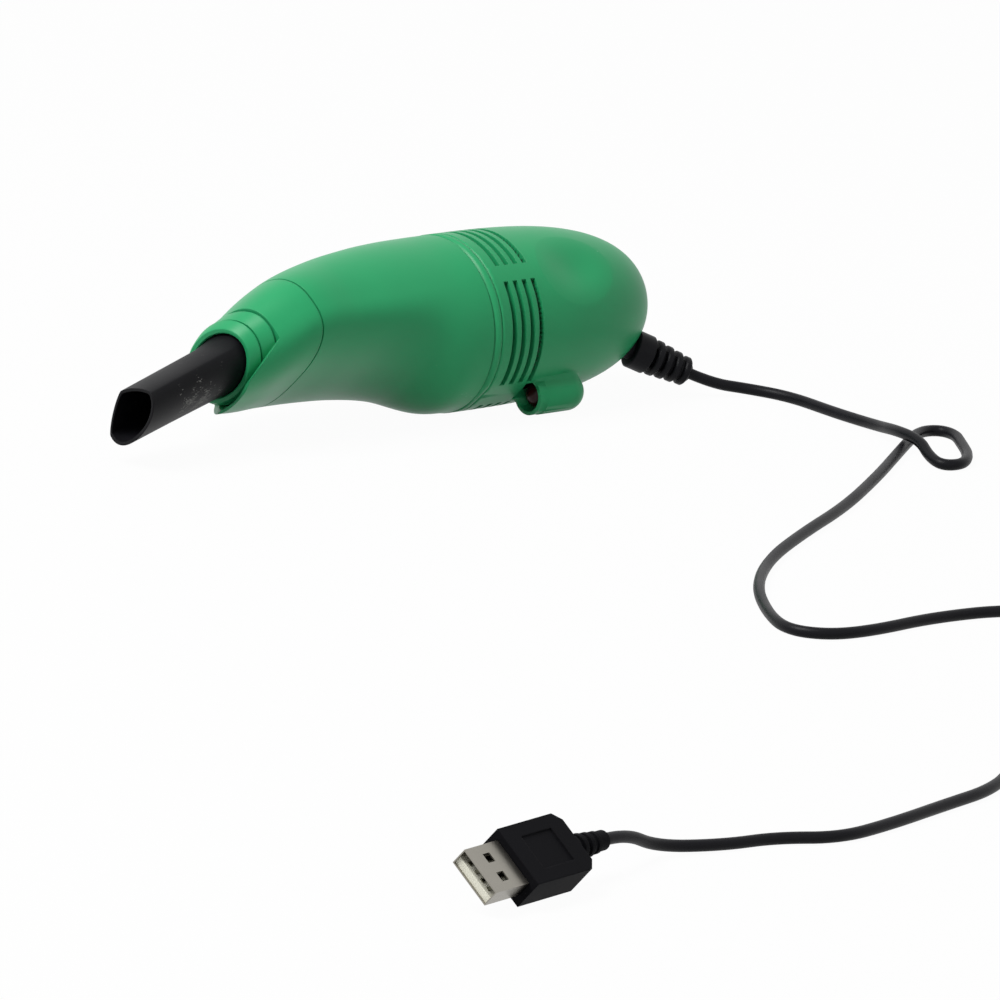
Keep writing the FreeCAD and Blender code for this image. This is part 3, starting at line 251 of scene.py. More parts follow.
looks = {
    "casePlastic": {"colour": (0.016, 0.262, 0.098), "shade": 0.04, "roughness": 0.38, "grain": 2400.0,
                    "relief": 0.5, "specular": 0.2, "bump": 0.1, "edge": 0.0003, "worn": (0.30, 0.55, 0.42),
                    "spot": toolFrame @ Vector((0, -1, -22)), "reach": 0.014, "speckScale": 2600.0,
                    "amount": 0.6, "rare": 0.0},
    "nozzleRubber": {"colour": (0.004, 0.004, 0.005), "shade": 0.25, "roughness": 0.5, "grain": 1500.0,
                     "relief": 0.6, "specular": 0.09, "edge": 0.0004, "worn": (0.20, 0.20, 0.19),
                     "spot": toolFrame @ Vector((-87, -3, -15)), "reach": 0.019, "speckScale": 3600.0,
                     "amount": 1.1, "rare": 0.1},
    "leadVinyl": {"colour": (0.0045, 0.0045, 0.006), "shade": 0.2, "roughness": 0.4, "grain": 1800.0,
                  "relief": 0.5, "specular": 0.1, "edge": 0.0004},
    "plugVinyl": {"colour": (0.0045, 0.0045, 0.0055), "shade": 0.2, "roughness": 0.6, "grain": 1800.0,
                  "relief": 0.5, "specular": 0.03, "edge": 0.0005},
    "innerPlastic": {"colour": (0.03, 0.03, 0.032), "shade": 0.1, "roughness": 0.5, "grain": 1600.0,
                     "relief": 0.4},
    "fanPlastic": {"colour": (0.16, 0.16, 0.15), "shade": 0.06, "roughness": 0.45, "grain": 1600.0,
                   "relief": 0.3},
    "switchPlastic": {"colour": (0.012, 0.012, 0.012), "shade": 0.1, "roughness": 0.45, "grain": 1800.0,
                      "relief": 0.4, "specular": 0.3, "edge": 0.0003},
    "creamPlastic": {"colour": (0.66, 0.65, 0.55), "shade": 0.05, "roughness": 0.4, "grain": 1600.0,
                     "relief": 0.2},
    "redVinyl": {"colour": (0.35, 0.008, 0.008), "shade": 0.08, "roughness": 0.4, "grain": 1600.0,
                 "relief": 0.2},
    "blackVinyl": {"colour": (0.010, 0.010, 0.010), "shade": 0.08, "roughness": 0.4, "grain": 1600.0,
                   "relief": 0.2},
    "resistorLacquer": {"colour": (0.45, 0.30, 0.15), "shade": 0.1, "roughness": 0.35, "grain": 1600.0,
                        "relief": 0.2},
    "lampResin": {"colour": (0.022, 0.004, 0.004), "shade": 0.3, "roughness": 0.22, "grain": 700.0,
                  "relief": 0.1, "specular": 0.15, "bump": 0.05},
    "steel": {"colour": (0.50, 0.51, 0.52), "shade": 0.08, "roughness": 0.3, "grain": 900.0, "relief": 0.4,
              "metallic": 1.0},
    "nickel": {"colour": (0.31, 0.295, 0.26), "shade": 0.10, "roughness": 0.34, "grain": 2600.0,
               "relief": 0.9, "metallic": 1.0},
    "brass": {"colour": (0.72, 0.52, 0.22), "shade": 0.06, "roughness": 0.28, "grain": 900.0, "relief": 0.3,
              "metallic": 1.0},
    "contactMetal": {"colour": (0.16, 0.155, 0.11), "shade": 0.1, "roughness": 0.35, "grain": 900.0,
                     "relief": 0.3, "metallic": 1.0},
}
made = {name: mouldedMaterial(name, look) for name, look in looks.items()}


fleeceLook = {
    "dark": (0.55, 0.55, 0.52),
    "light": (0.85, 0.85, 0.82),
    "scale": 1500.0,
    "detail": 6.0,
    "bump": 0.6,
    "bumpDistance": 0.0002,
    "roughness": 0.95,
}


def clothMaterial(name, look):
    material, tree, shader = newMaterial(name)
    place = addNode(tree, "ShaderNodeTexCoord").outputs["Object"]
    fibre = noiseNode(tree, place, look["scale"], look["detail"])
    tint = addNode(tree, "ShaderNodeValToRGB", inputs={"Fac": fibre})
    tint.color_ramp.elements[0].color = (*look["dark"], 1)
    tint.color_ramp.elements[1].color = (*look["light"], 1)
    bump = addNode(tree, "ShaderNodeBump", inputs={"Height": fibre, "Distance": look["bumpDistance"],
                                                   "Strength": look["bump"]})
    tree.links.new(tint.outputs["Color"], shader.inputs["Base Color"])
    tree.links.new(bump.outputs["Normal"], shader.inputs["Normal"])
    shader.inputs["Roughness"].default_value = look["roughness"]
    return material


made["filterFleece"] = clothMaterial("filterFleece", fleeceLook)
finishes = {
    "case": "casePlastic",
    "nozzle_rubber": "nozzleRubber",
    "inner_plastic": "innerPlastic",
    "fan_plastic": "fanPlastic",
    "switch_plastic": "switchPlastic",
    "filter_cloth": "filterFleece",
    "steel": "steel",
    "brass": "brass",
    "lamp_red": "lampResin",
    "resistor": "resistorLacquer",
    "wire_red": "redVinyl",
    "wire_black": "blackVinyl",
    "lead_rubber": "leadVinyl",
    "plug_metal": "nickel",
    "plug_cream": "creamPlastic",
}
slotOf = {part["node"]: part["material_slot"] for part in frame["record"]["subparts"]}
for name, node in nodes.items():
    node.data.materials.clear()
    node.data.materials.append(made[finishes[slotOf[name]]])
nodes["plug_contacts"].data.materials[0] = made["contactMetal"]
nodes["plug_body"].data.materials[0] = made["plugVinyl"]
print("materials made:", len(bpy.data.materials))


meshSetup = {
    "ovalPoints": 96,
    "roundPoints": 64,
    "weldWork": 0.0001,  # in millimetres, while a mesh is in the tool's frame
    "weldSource": 0.000001,  # and in metres for what comes from the solids or goes into the scene
    "weldPiece": 0.000002,
    "sliver": 0.000001,
    "sharp": 32,  # degrees between two faces from which their edge is drawn crisp
}


def moved(work, matrix):
    bmesh.ops.transform(work, matrix=matrix, verts=work.verts)
    return work


def leaned(place, lean):  # from along the X axis to its place, with its front end dipped
    return Matrix.Translation(place) @ Matrix.Rotation(-lean, 4, "Y")


def turnsRound(count, shift=0.0):
    return [2 * math.pi * (i + shift) / count for i in range(count)]


def ovalRing(half, height, along, count=meshSetup["ovalPoints"], rise=0.0):
    return [Vector((along, half * math.cos(turn), rise + height * math.sin(turn)))
            for turn in turnsRound(count)]


def roundRing(radius, along, rise=0.0):
    return ovalRing(radius, radius, along, meshSetup["roundPoints"], rise)


def ovalPoint(turn, half, above, below, upper, lower):  # the two halves differ in height and in power
    across, up = math.cos(turn), math.sin(turn)
    height, power = (above, upper) if up > 0 else (below, lower)
    return half * math.copysign(abs(across) ** power, across), height * math.copysign(abs(up) ** power, up)


def tubeMesh(rings, closed=True):  # skins a row of rings that have equal counts of points
    work = bmesh.new()
    rows = [[work.verts.new(point) for point in ring] for ring in rings]
    count = len(rows[0])
    for near, far in zip(rows, rows[1:]):
        for i in range(count):
            after = (i + 1) % count
            work.faces.new((near[i], near[after], far[after], far[i]))
    if closed:
        work.faces.new(rows[0])
        work.faces.new(rows[-1])
    bmesh.ops.recalc_face_normals(work, faces=work.faces)
    return work


def ringMesh(rings):  # the same, but the last ring joins the first, as round a wall
    work = tubeMesh(rings + [rings[0]], closed=False)
    bmesh.ops.remove_doubles(work, verts=work.verts, dist=meshSetup["weldWork"])
    bmesh.ops.recalc_face_normals(work, faces=work.faces)
    return work


def rodMesh(halves, play, start, end, widen=(0.0, 0.0)):
    half, height = halves[0] + play, halves[1] + play
    return tubeMesh([ovalRing(half, height, start), ovalRing(half + widen[0], height + widen[1], end)])


def cylinderMesh(radius, depth):
    work = bmesh.new()
    bmesh.ops.create_cone(work, cap_ends=True, segments=meshSetup["roundPoints"], radius1=radius,
                          radius2=radius, depth=depth)
    return work


def looseObject(work):
    mesh = bpy.data.meshes.new("work")
    work.to_mesh(mesh)
    work.free()
    return addObject("work", mesh)


def carve(base, steps):  # joins and cuts meshes one after the other; all are used up
    body = looseObject(base)
    for operation, tool in steps:
        helper = looseObject(tool)
        change = body.modifiers.new("change", "BOOLEAN")
        change.operation = operation
        change.solver = "EXACT"
        change.object = helper
        bpy.context.view_layer.update()
        mesh = bpy.data.meshes.new_from_object(body.evaluated_get(bpy.context.evaluated_depsgraph_get()))
        body.modifiers.clear()
        body.data = mesh
        bpy.data.objects.remove(helper)
    work = bmesh.new()
    work.from_mesh(body.data)
    bpy.data.objects.remove(body)
    return work


def placePiece(name, work, look, setup):  # from millimetres in the tool's frame to its place in the scene
    moved(work, toolFrame)
    bmesh.ops.remove_doubles(work, verts=work.verts, dist=meshSetup["weldPiece"])
    bmesh.ops.dissolve_degenerate(work, edges=work.edges, dist=meshSetup["sliver"])
    for face in work.faces:
        face.smooth = True
    mesh = bpy.data.meshes.new(name)
    work.to_mesh(mesh)
    work.free()
    mesh.set_sharp_from_angle(angle=math.radians(setup.get("sharp", meshSetup["sharp"])))
    mesh.materials.append(look)
    piece = addObject(name, mesh)
    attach(piece, setup["body"])
    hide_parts(*setup["replaces"])


# sections of the front of the case, in millimetres and degrees: how far ahead of the seam, middle height,
# lean, half width, top, bottom, and how boxy the upper and the lower half are
frontSections = [
    (0.0, 0.0, 0.0, 22.0, 22.0, 22.0, 2.0, 2.0),
    (8.0, -0.3, 0.0, 21.3, 22.0, 20.8, 2.05, 2.1),
    (17.0, -0.4, 0.0, 21.0, 21.5, 14.7, 2.15, 2.3),
    (27.0, -0.8, 0.0, 20.8, 20.3, 11.5, 2.3, 2.5),
    (40.0, -0.6, 3.25, 20.5, 17.9, 10.5, 2.4, 2.6),
    (53.5, -0.6, 9.1, 20.2, 13.8, 10.7, 2.4, 2.6),
    (66.0, -3.0, 13.0, 15.5, 7.4, 12.9, 2.5, 2.6),
    (74.5, -4.0, 13.0, 12.6, -0.2, 14.1, 2.2, 2.4),
]
frontCase = {
    "wall": 1.8,
    "joint": 53.5,
    "gap": 0.22,  # half of the gap at each seam
    "hollowEnd": 63.6,
    "facet": 66.0,
    "facetLean": 13.0,
    "chin": 57.1,
    "chinLean": -51.3,
    "lapStart": 49.6,
    "lapEnd": 55.5,
    "lapNeck": 2.05,  # how far inside the outline the nose's lap runs where it stands in the chamber
    "lapRoot": 1.5,  # where it joins the nose
    "lapInner": 3.2,  # and on its own inside
    "lapStep": 0.02,
    "cutReach": 60.0,
    "cutFront": -150.0,
    "step": 1.1,
    "count": 128,
}


def sectionAt(place):  # a smooth run through the sections above
    last = len(frontSections) - 1
    low = max(i for i in range(last) if frontSections[i][0] <= place or i == 0)
    start, end = frontSections[low], frontSections[low + 1]
    before, after = frontSections[max(0, low - 1)], frontSections[min(last, low + 2)]
    length = end[0] - start[0]
    t = (place - start[0]) / length
    values = [place]
    for k in range(1, len(start)):
        leaving = (end[k] - before[k]) / (end[0] - before[0]) * length
        arriving = (after[k] - start[k]) / (after[0] - start[0]) * length
        values.append((2 * t ** 3 - 3 * t ** 2 + 1) * start[k] + (t ** 3 - 2 * t ** 2 + t) * leaving
                      + (3 * t ** 2 - 2 * t ** 3) * end[k] + (t ** 3 - t ** 2) * arriving)
    return values


def sectionRing(place, inset):
    place, middle, lean, half, top, bottom, upper, lower = sectionAt(place)
    lean = math.radians(lean)
    above, below = top - middle - inset, middle + bottom - inset
    ring = []
    for turn in turnsRound(frontCase["count"], 0.5):
        y, v = ovalPoint(turn, half - inset, above, below, 2 / upper, 2 / lower)
        ring.append(Vector((-place - v * math.sin(lean), y, middle + v * math.cos(lean))))
    return ring


def sectionRings(start, end, inset):
    steps = max(2, round(abs(end - start) / frontCase["step"]))
    return [sectionRing(start + (end - start) * i / steps, inset) for i in range(steps + 1)]


def wedgeMesh(setup):  # what lies in front of both the facet and the chin's plane
    facet, chin = math.tan(math.radians(setup["facetLean"])), math.tan(math.radians(setup["chinLean"]))
    reach, front = setup["cutReach"], setup["cutFront"]
    height = (setup["chin"] - setup["facet"]) / (facet - chin)  # where the two planes meet
    corner = Vector((-setup["facet"] - height * facet, 0, height))
    high = corner + Vector((-facet, 0, 1)) * reach
    low = corner + Vector((chin, 0, -1)) * reach
    outline = [corner, high, Vector((front, 0, high.z)), Vector((front, 0, low.z)), low]
    return tubeMesh([[point + Vector((0, side, 0)) for point in outline] for side in (-reach, reach)])


collarSetup = {
    "place": Vector((-72.5, 0, -3.4)),
    "lean": math.radians(13.0),
    "front": (12.0, 8.6),  # half width and half height of each oval
    "back": (13.4, 9.5),
    "bore": (10.5, 6.9),
    "neck": (12.1, 8.0),
    "thick": 3.0,
    "length": 9.0,
    "edge": 0.4,
    "softEdge": 0.3,
    "play": 0.12,
    "neckPlay": 0.25,
    "floor": 3.35,  # how deep the flange's pocket is in the nose, and the seat behind it
    "seatInset": 0.1,
    "seatLength": 3.2,
    "seatWiden": (2.2, 0.55),
    "pocketStart": -6.0,
    "holeStart": -5.0,
    "holeEnd": 20.0,
}


def makeChamber(setup):
    start, end = setup["gap"], setup["joint"] - setup["gap"]
    rings = sectionRings(start, end, 0.0) + sectionRings(end, start, setup["wall"])
    placePiece("dustChamber", ringMesh(rings), made["casePlastic"],
               {"body": "chamber", "replaces": ["dust_chamber"], "slot": "case"})


def makeNose(setup, collar):
    start = setup["joint"] + setup["gap"]
    rings = sectionRings(start, frontSections[-1][0], 0.0)
    inner = sectionRings(setup["hollowEnd"], start, setup["wall"])
    lapLine = [(setup["lapStart"], setup["lapNeck"]), (start - setup["lapStep"], setup["lapNeck"]),
               (start, setup["lapRoot"]), (setup["lapEnd"], setup["lapRoot"]),
               (setup["lapEnd"], setup["lapInner"]), (setup["lapStart"], setup["lapInner"])]
    lap = ringMesh([sectionRing(place, inset) for place, inset in lapLine])
    back, neck, floor = collar["back"], collar["neck"], collar["floor"]
    seat = rodMesh(back, -collar["seatInset"], floor, floor + collar["seatLength"], collar["seatWiden"])
    hole = rodMesh(neck, collar["neckPlay"], collar["holeStart"], collar["holeEnd"])
    pocket = rodMesh(back, collar["play"], collar["pocketStart"], floor)
    for tool in (seat, hole, pocket):
        moved(tool, leaned(collar["place"], collar["lean"]))
    steps = [("UNION", lap), ("DIFFERENCE", wedgeMesh(setup)), ("UNION", seat), ("DIFFERENCE", hole),
             ("DIFFERENCE", pocket)]
    placePiece("noseCone", carve(tubeMesh(inner + rings), steps), made["casePlastic"],
               {"body": "chamber", "replaces": ["nose_cone"], "slot": "case", "sharp": 25})


def makeCollar(setup):
    front, back, bore, neck = setup["front"], setup["back"], setup["bore"], setup["neck"]
    thick, length, edge, soft = setup["thick"], setup["length"], setup["edge"], setup["softEdge"]
    outline = [(bore, 0, length), (bore, 0, soft), (bore, soft, 0), (front, -edge, 0), (front, 0, edge),
               (back, 0, thick - edge), (back, -soft, thick), (neck, 0, thick), (neck, 0, length)]
    rings = [ovalRing(half + wider, height + wider, along) for (half, height), wider, along in outline]
    work = moved(ringMesh(rings), leaned(setup["place"], setup["lean"]))
    placePiece("nozzleCollar", work, made["casePlastic"],
               {"body": "chamber", "replaces": ["nozzle_collar"], "slot": "case"})


# outside of the nozzle along its own axis, in millimetres: place, half width, top, bottom, sag, crease
nozzleSections = [
    (7.0, 10.0, 6.7, 6.7, 0.0, 0.0),
    (1.0, 10.0, 6.7, 6.7, 0.0, 0.0),
    (-1.0, 10.0, 6.5, 6.6, 0.1, 0.5),
    (-3.5, 10.0, 6.4, 6.3, 0.2, 1.0),
    (-22.0, 9.8, 6.3, 6.0, 0.2, 1.0),
    (-46.0, 9.6, 6.2, 5.8, 0.2, 1.0),
]
nozzleSetup = {
    "wall": 0.8,
    "length": 34.5,
    "mouthAngle": math.radians(19.0),
    "bend": math.radians(3.0),  # how far the part outside the collar leans more than its root
    "bendStart": 1.0,
    "roof": 0.55,  # above nought the upper flanks are flatter than an oval, below it fuller
    "keel": -0.06,
    "cutReach": 40.0,
    "count": 96,
}


def nozzleRing(setup, section, inset):
    place, half, top, bottom, sag, crease = section
    upper, lower = 1 + setup["roof"] * crease, 1 + setup["keel"] * crease
    ring = []
    for turn in turnsRound(setup["count"], 0.5):
        y, z = ovalPoint(turn, half - inset, top - inset, bottom - inset, upper, lower)
        ring.append(Vector((place, y, z - sag)))
    return ring


def makeNozzle(setup, collar):
    outer = [nozzleRing(setup, one, 0.0) for one in nozzleSections]
    inner = [nozzleRing(setup, one, setup["wall"]) for one in reversed(nozzleSections)]
    mouth = bmesh.new()
    bmesh.ops.create_cube(mouth, size=2 * setup["cutReach"])
    moved(mouth, leaned((-setup["length"], 0, 0), -setup["mouthAngle"])
          @ Matrix.Translation((-setup["cutReach"], 0, 0)))
    work = carve(ringMesh(outer + inner), [("DIFFERENCE", mouth)])
    bend = Matrix.Rotation(-setup["bend"], 3, "Y")
    for vert in work.verts:
        if vert.co.x < setup["bendStart"]:
            vert.co = bend @ vert.co
    moved(work, leaned(collar["place"], collar["lean"]))
    placePiece("creviceNozzle", work, made["nozzleRubber"],
               {"body": "nozzle", "replaces": ["crevice_nozzle"], "slot": "nozzle_rubber", "sharp": 28})


rearSetup = {
    "gripPlace": 31.9,
    "gripRadius": 21.0,  # of the housing there
    "gripHalves": (11.6, 9.6),
    "gripSpread": 1.12,  # how far past the rim the cut runs, as a share
    "gripDish": 1.05,
    "gripRim": 1.3,
    "gripCore": 0.02,  # the innermost ring, as a share of the step between rings
    "gripClear": 4.0,
    "gripRings": 22,
    "gripPoints": 96,
    "seamRadius": 22.0,
    "length": 64.2,
    "lengthPower": 3.1,
    "radiusPower": 0.38,
    "padHalves": (11.0, 7.7),
    "padShift": -0.4,
    "padTop": 1.5,
    "padBack": 3.2,
    "podDrop": 24.11,
    "podRise": 1.0,
    "podTop": 21.5,  # below the axis; what lies lower rises with the pod
    "podBlend": 1.5,
    "podStart": 17.4,
    "podRadius": 4.8,
    "boreRadius": 3.9,
    "boreDepth": 10.5,
    "boreAhead": 2.0,
    "notchHalf": 6.5,
    "notchHeights": (-29.0, -21.9),
    "notchReach": (-1.0, 2.6),  # from the pod's front end
    "barrelReach": (-2.0, 4.0),
}
quarterTurn = math.radians(90)


def rearRadius(setup, place):
    share = (place / setup["length"]) ** setup["lengthPower"]
    return setup["seamRadius"] * (1 - share) ** setup["radiusPower"]


def gripHollow(setup, side):  # what is taken away for the grip: a dish with a soft rim, on the round housing
    inner, outer = [], []
    for i in range(setup["gripRings"] + 1):
        reach = setup["gripSpread"] * (i + setup["gripCore"]) / setup["gripRings"]
        dish = setup["gripDish"] * (1 + math.cos(math.pi * min(1, reach))) / 2
        depth = dish + setup["gripRim"] * (1 - reach ** 2) / 2
        low, high = [], []
        for turn in turnsRound(setup["gripPoints"]):
            place = setup["gripPlace"] + setup["gripHalves"][0] * reach * math.cos(turn)
            angle = setup["gripHalves"][1] * reach * math.sin(turn) / setup["gripRadius"]
            radius = rearRadius(setup, place)
            across = Vector((0, math.sin(angle), -math.cos(angle)))
            low.append(Vector((place, 0, 0)) + across * (radius - depth))
            high.append(Vector((place, 0, 0)) + across * (radius + setup["gripClear"]))
        inner.append(low)
        outer.append(high)
    return moved(tubeMesh(inner + outer[::-1]), Matrix.Rotation(quarterTurn * side, 4, "X"))


def gripPad(setup, side):
    depth = setup["padBack"] + setup["padTop"]
    place = Matrix.Rotation(quarterTurn * side, 4, "X") @ Matrix.Translation(
        (setup["gripPlace"] + setup["padShift"], 0, -setup["gripRadius"] - setup["padTop"] + depth / 2))
    return moved(cylinderMesh(1, depth), place @ Matrix.Diagonal((*setup["padHalves"], 1, 1)))


def podNotch(setup):  # clears the sides of the pod's front end, so that its barrel stands free there
    half, (low, high), start = setup["notchHalf"], setup["notchHeights"], setup["podStart"]
    corners = [(-half, low), (half, low), (half, high), (-half, high)]
    block = tubeMesh([[Vector((start + along, y, z)) for y, z in corners] for along in setup["notchReach"]])
    barrel = tubeMesh([roundRing(setup["podRadius"], start + along, setup["podRise"] - setup["podDrop"])
                       for along in setup["barrelReach"]])
    return carve(block, [("DIFFERENCE", barrel)])


def podBore(setup):
    depth, ahead = setup["boreDepth"], setup["boreAhead"]
    middle = Vector((setup["podStart"] + (depth - ahead) / 2, 0, setup["podRise"] - setup["podDrop"]))
    return moved(cylinderMesh(setup["boreRadius"], depth + ahead), leaned(middle, -quarterTurn))


def makeShell(setup, name, source, side):
    work = bmesh.new()
    work.from_mesh(nodes[source].data)
    bmesh.ops.remove_doubles(work, verts=work.verts, dist=meshSetup["weldSource"])
    moved(work, toolFrame.inverted())
    for vert in work.verts:
        share = min(1.0, max(0.0, (-vert.co.z - setup["podTop"]) / setup["podBlend"]))
        vert.co.z += setup["podRise"] * share
    steps = [("UNION", gripPad(setup, side)), ("DIFFERENCE", gripHollow(setup, side)),
             ("DIFFERENCE", podNotch(setup)), ("DIFFERENCE", podBore(setup))]
    placePiece(name, carve(work, steps), made["casePlastic"],
               {"body": "case", "replaces": [source], "slot": "case", "sharp": 30})


lampSetup = {
    "radius": 3.3,
    "rim": 3.8,
    "rimThickness": 1.2,
    "length": 7.0,
    "setback": 0.5,
    "steps": 10,
}


def spinMesh(profile):  # a solid round the X axis from pairs of place and radius
    return tubeMesh([roundRing(radius, along) for along, radius in profile])


def makeLamp(setup, rear):
    radius, steps = setup["radius"], setup["steps"]
    dome = [(radius * (1 - math.cos(turn)), radius * math.sin(turn))
            for turn in (math.pi / 2 * (i + 0.5) / steps for i in range(steps))]
    flange = setup["length"] - setup["rimThickness"]
    body = [(radius, radius), (flange, radius), (flange, setup["rim"]), (setup["length"], setup["rim"])]
    place = Vector((rear["podStart"] + setup["setback"], 0, rear["podRise"] - rear["podDrop"]))
    work = moved(spinMesh(dome + body), Matrix.Translation(place))
    placePiece("lampLed", work, made["lampResin"],
               {"body": "case", "replaces": ["lamp_led"], "slot": "lamp_red"})


reliefSetup = {
    "place": Vector((57.5, 0, -14.1)),
    "lean": math.radians(-33.0),
    "root": -3.7,
    "rootRadius": 2.9,
    "base": 4.9,
    "baseStart": -0.4,
    "baseEnd": 4.6,
    "groove": 2.7,
    "ribs": 4,
    "ribStart": 4.55,
    "ribEnd": 3.7,
    "ribWidth": 1.75,
    "pitch": 2.75,
    "round": 0.35,
    "tip": 0.8,
    "tipRadius": 2.16,
}


def makeRelief(setup):
    soft, base = setup["round"], setup["base"]
    start, end = setup["baseStart"], setup["baseEnd"]
    profile = [(setup["root"], setup["rootRadius"]), (start, setup["rootRadius"]), (start, base - soft),
               (start + soft, base), (end - soft, base), (end, base - soft)]
    for i in range(setup["ribs"]):
        rib = setup["ribStart"] + (setup["ribEnd"] - setup["ribStart"]) * i / (setup["ribs"] - 1)
        stop = end + (i + 1) * setup["pitch"]
        rise = stop - setup["ribWidth"]
        profile += [(rise - setup["pitch"] + setup["ribWidth"], setup["groove"]), (rise, setup["groove"]),
                    (rise, rib - soft), (rise + soft, rib), (stop - soft, rib), (stop, rib - soft)]
    stop = end + setup["ribs"] * setup["pitch"]
    profile += [(stop, setup["tipRadius"]), (stop + setup["tip"], setup["tipRadius"])]
    work = moved(spinMesh(profile), leaned(setup["place"], setup["lean"]))
    placePiece("strainRelief", work, made["leadVinyl"],
               {"body": "case", "replaces": ["strain_relief"], "slot": "lead_rubber"})


makeChamber(frontCase)
makeNose(frontCase, collarSetup)
makeCollar(collarSetup)
makeNozzle(nozzleSetup, collarSetup)
makeShell(rearSetup, "rearShellLeft", "rear_shell_left", -1)
makeShell(rearSetup, "rearShellRight", "rear_shell_right", 1)
makeLamp(lampSetup, rearSetup)
makeRelief(reliefSetup)
print("case pieces made")


leadSetup = {
    "diameter": 0.0028,
    "coilCentre": (-0.035, -0.292),
    "coilMiddle": 0.016,
    "coilTurns": 5,
    "pointsPerTurn": 14,
    "coilStart": 90.0,  # degrees round the coil where the lead runs in and out
    "coilEnd": 130.0,
    "lowerTurns": 2.6,
    "turnStep": 0.77,  # how far a turn lies from the one before, in thicknesses of the lead
    "climb": 3.0,  # and how fast it climbs to the upper layer
    "upperHeight": 1.5,
    "length": 1.24,
    "roundness": 5,
    "smoothness": 8,
    "order": 3,
}

# millimetres on the table, from the strain relief to the coil
leadRoute = [
    (88.5, -16.0, 6.0), (94.4, -18.7, 3.3), (102.5, -22.5, 2), (108.5, -32.5, 1.4), (107, -50, 1.4),
    (104.9, -67.7, 2.2), (98.9, -80.5, 4.6), (97.2, -90.6, 4.6), (94.5, -97, 2.2), (93.3, -103, 1.4),
    (99.2, -104.5, 1.4), (107, -98, 1.4), (114, -88, 1.4), (118.8, -81, 1.4), (118.6, -75.5, 1.4),
    (113, -74.3, 1.4), (104, -80, 1.4), (91, -89.3, 1.4), (71, -103.7, 1.4), (42, -123, 1.4),
    (14, -138, 1.4), (-11, -153, 1.4), (-32, -171, 1.4), (-47, -191, 1.4), (-54, -205, 1.4),
    (-48.5, -213.5, 1.4), (-36, -215.5, 1.4), (-14, -213, 1.4), (9, -216, 1.4), (25, -232, 1.4),
    (24, -252, 1.4), (8, -267, 1.4), (-13, -273.2, 1.4),
]
# and from the coil to the plug
tailRoute = [
    (-61, -289, 2.4), (-76, -304, 1.4), (-91, -321, 1.4), (-110, -334, 1.4), (-130, -339, 1.4),
    (-152, -345, 1.4), (-171, -348.5, 1.4), (-184, -341.5, 1.4), (-199, -340.5, 1.4), (-215.5, -336.5, 2.2),
    (-229.0, -340.9, 8.05), (-237.8, -342.7, 8.05),
]


def coilPoints(setup):
    points = []
    spacing, step = setup["diameter"], setup["turnStep"]
    sweep = 360.0 * setup["coilTurns"] + setup["coilEnd"] - setup["coilStart"]
    steps = round(sweep / 360 * setup["pointsPerTurn"])
    for i in range(steps + 1):
        share = i / steps
        turns = share * sweep / 360
        risen = turns - setup["lowerTurns"]
        if risen < 0:  # lower layer winds inwards
            radius = setup["coilMiddle"] + spacing * (1 - turns * step)
            height = 0.5 * spacing
        else:  # upper layer winds outwards again
            radius = setup["coilMiddle"] + spacing * (-1 + risen * step)
            height = min(setup["upperHeight"], 0.5 + risen * setup["climb"]) * spacing
        angle = math.radians(setup["coilStart"] + sweep * share)
        points.append(Vector((setup["coilCentre"][0] + radius * math.cos(angle),
                              setup["coilCentre"][1] + radius * math.sin(angle), height)))
    return points


def makeLead(setup):
    points = [Vector(point) / 1000 for point in leadRoute] + coilPoints(setup)
    points += [Vector(point) / 1000 for point in tailRoute]
    curve = bpy.data.curves.new("lead", "CURVE")
    curve.dimensions = "3D"
    curve.bevel_depth = setup["diameter"] / 2
    curve.bevel_resolution = setup["roundness"]
    curve.resolution_u = setup["smoothness"]
    spline = curve.splines.new("NURBS")
    spline.points.add(len(points) - 1)
    for slot, point in zip(spline.points, points):
        slot.co = (*point, 1)
    spline.order_u = setup["order"]
    spline.use_endpoint_u = True
    curve.materials.append(made["leadVinyl"])
    return addObject("lead", curve)


lead = makeLead(leadSetup)
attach(lead, "case")
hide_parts("cord_lead", "cord_coil", "cord_tail")
print("lead laid")


studio = {
    "floorSize": 6.0,
    "floorColour": 0.5,
    "floorRoughness": 0.9,
    "floorSpecular": 0.1,
    "floorGlow": 0.965,
    "worldLight": 0.42,
}
white = (1, 1, 1, 1)


def seenNode(tree, path):  # one for what the camera sees itself or in a reflection
    return mathNode(tree, "MAXIMUM", path.outputs["Is Camera Ray"], path.outputs["Is Glossy Ray"])


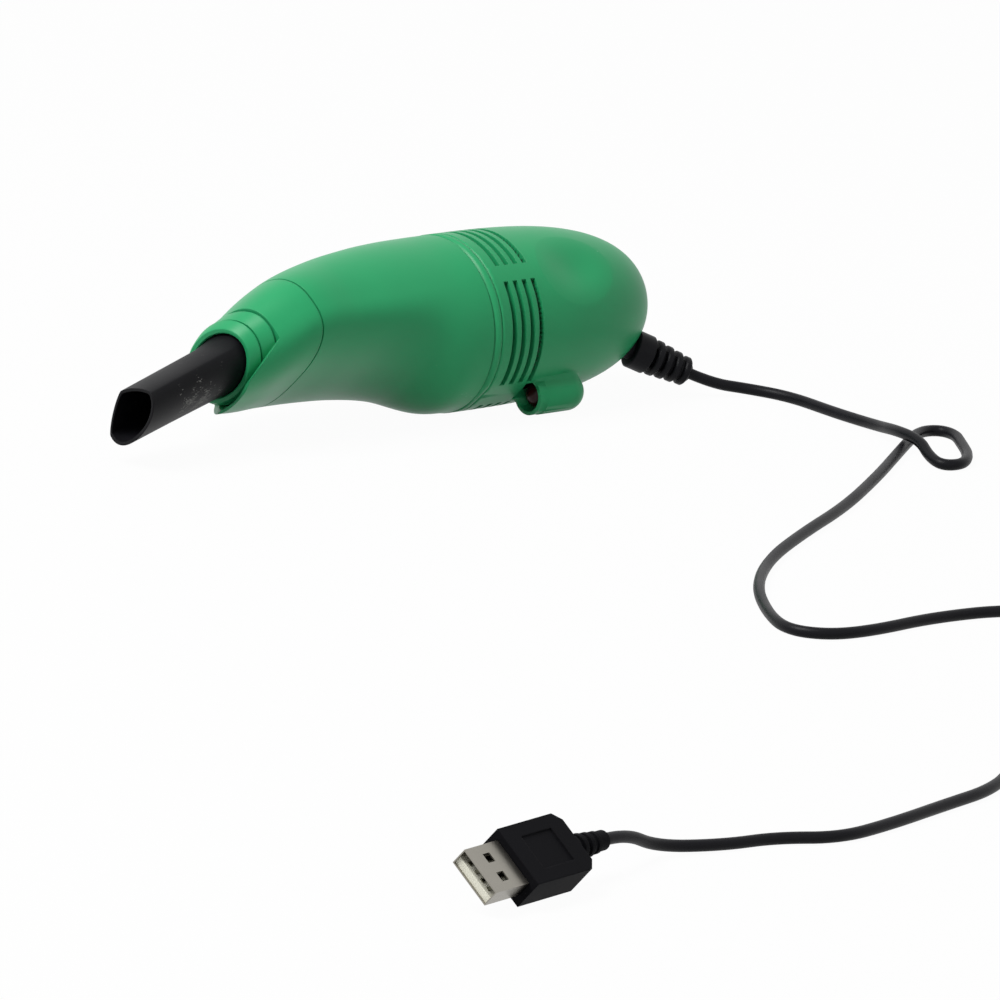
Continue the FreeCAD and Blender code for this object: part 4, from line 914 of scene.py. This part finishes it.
def makeFloor(setup):
    mesh = bpy.data.meshes.new("floor")
    work = bmesh.new()
    bmesh.ops.create_grid(work, x_segments=1, y_segments=1, size=setup["floorSize"])
    work.to_mesh(mesh)
    work.free()
    floor = addObject("floor", mesh)
    material, tree, shader = newMaterial("floorPaper")
    shader.inputs["Base Color"].default_value = (*[setup["floorColour"]] * 3, 1)
    shader.inputs["Roughness"].default_value = setup["floorRoughness"]
    shader.inputs["Specular IOR Level"].default_value = setup["floorSpecular"]
    glow = addNode(tree, "ShaderNodeEmission", inputs={"Color": white, "Strength": 1.0})
    path = addNode(tree, "ShaderNodeLightPath")
    seen = mathNode(tree, "MAXIMUM", seenNode(tree, path), path.outputs["Is Transmission Ray"])
    share = mathNode(tree, "MULTIPLY", seen, setup["floorGlow"])
    mix = addNode(tree, "ShaderNodeMixShader", inputs={0: share, 1: shader.outputs[0], 2: glow.outputs[0]})
    tree.links.new(mix.outputs[0], tree.nodes["Material Output"].inputs["Surface"])
    mesh.materials.append(material)


def makeWorld(setup):
    world = bpy.data.worlds.new("studio")
    bpy.context.scene.world = world
    world.use_nodes = True
    tree = world.node_tree
    tree.nodes.clear()
    path = addNode(tree, "ShaderNodeLightPath")
    level = rangeNode(tree, seenNode(tree, path), 0.0, 1.0, setup["worldLight"], 1.0)
    backing = addNode(tree, "ShaderNodeBackground", inputs={"Color": white, "Strength": level})
    end = addNode(tree, "ShaderNodeOutputWorld")
    tree.links.new(backing.outputs[0], end.inputs["Surface"])


lamps = {
    "key": {"place": (-0.95, 0.1, 1.4), "size": 0.9, "power": 36.0},
    "fill": {"place": (-0.2, -1.9, 0.9), "size": 1.2, "power": 1.5},
}


def makeLamps(setup):
    for name, look in setup.items():
        lamp = addObject(name, bpy.data.lights.new(name, "AREA"))
        lamp.data.energy = look["power"]
        lamp.data.size = look["size"]
        lamp.location = look["place"]
        aim = toolCentre - lamp.location
        lamp.rotation_euler = aim.to_track_quat("-Z", "Y").to_euler()


makeFloor(studio)
makeWorld(studio)
makeLamps(lamps)
bpy.context.scene.view_settings.view_transform = "Standard"
print("studio lit")
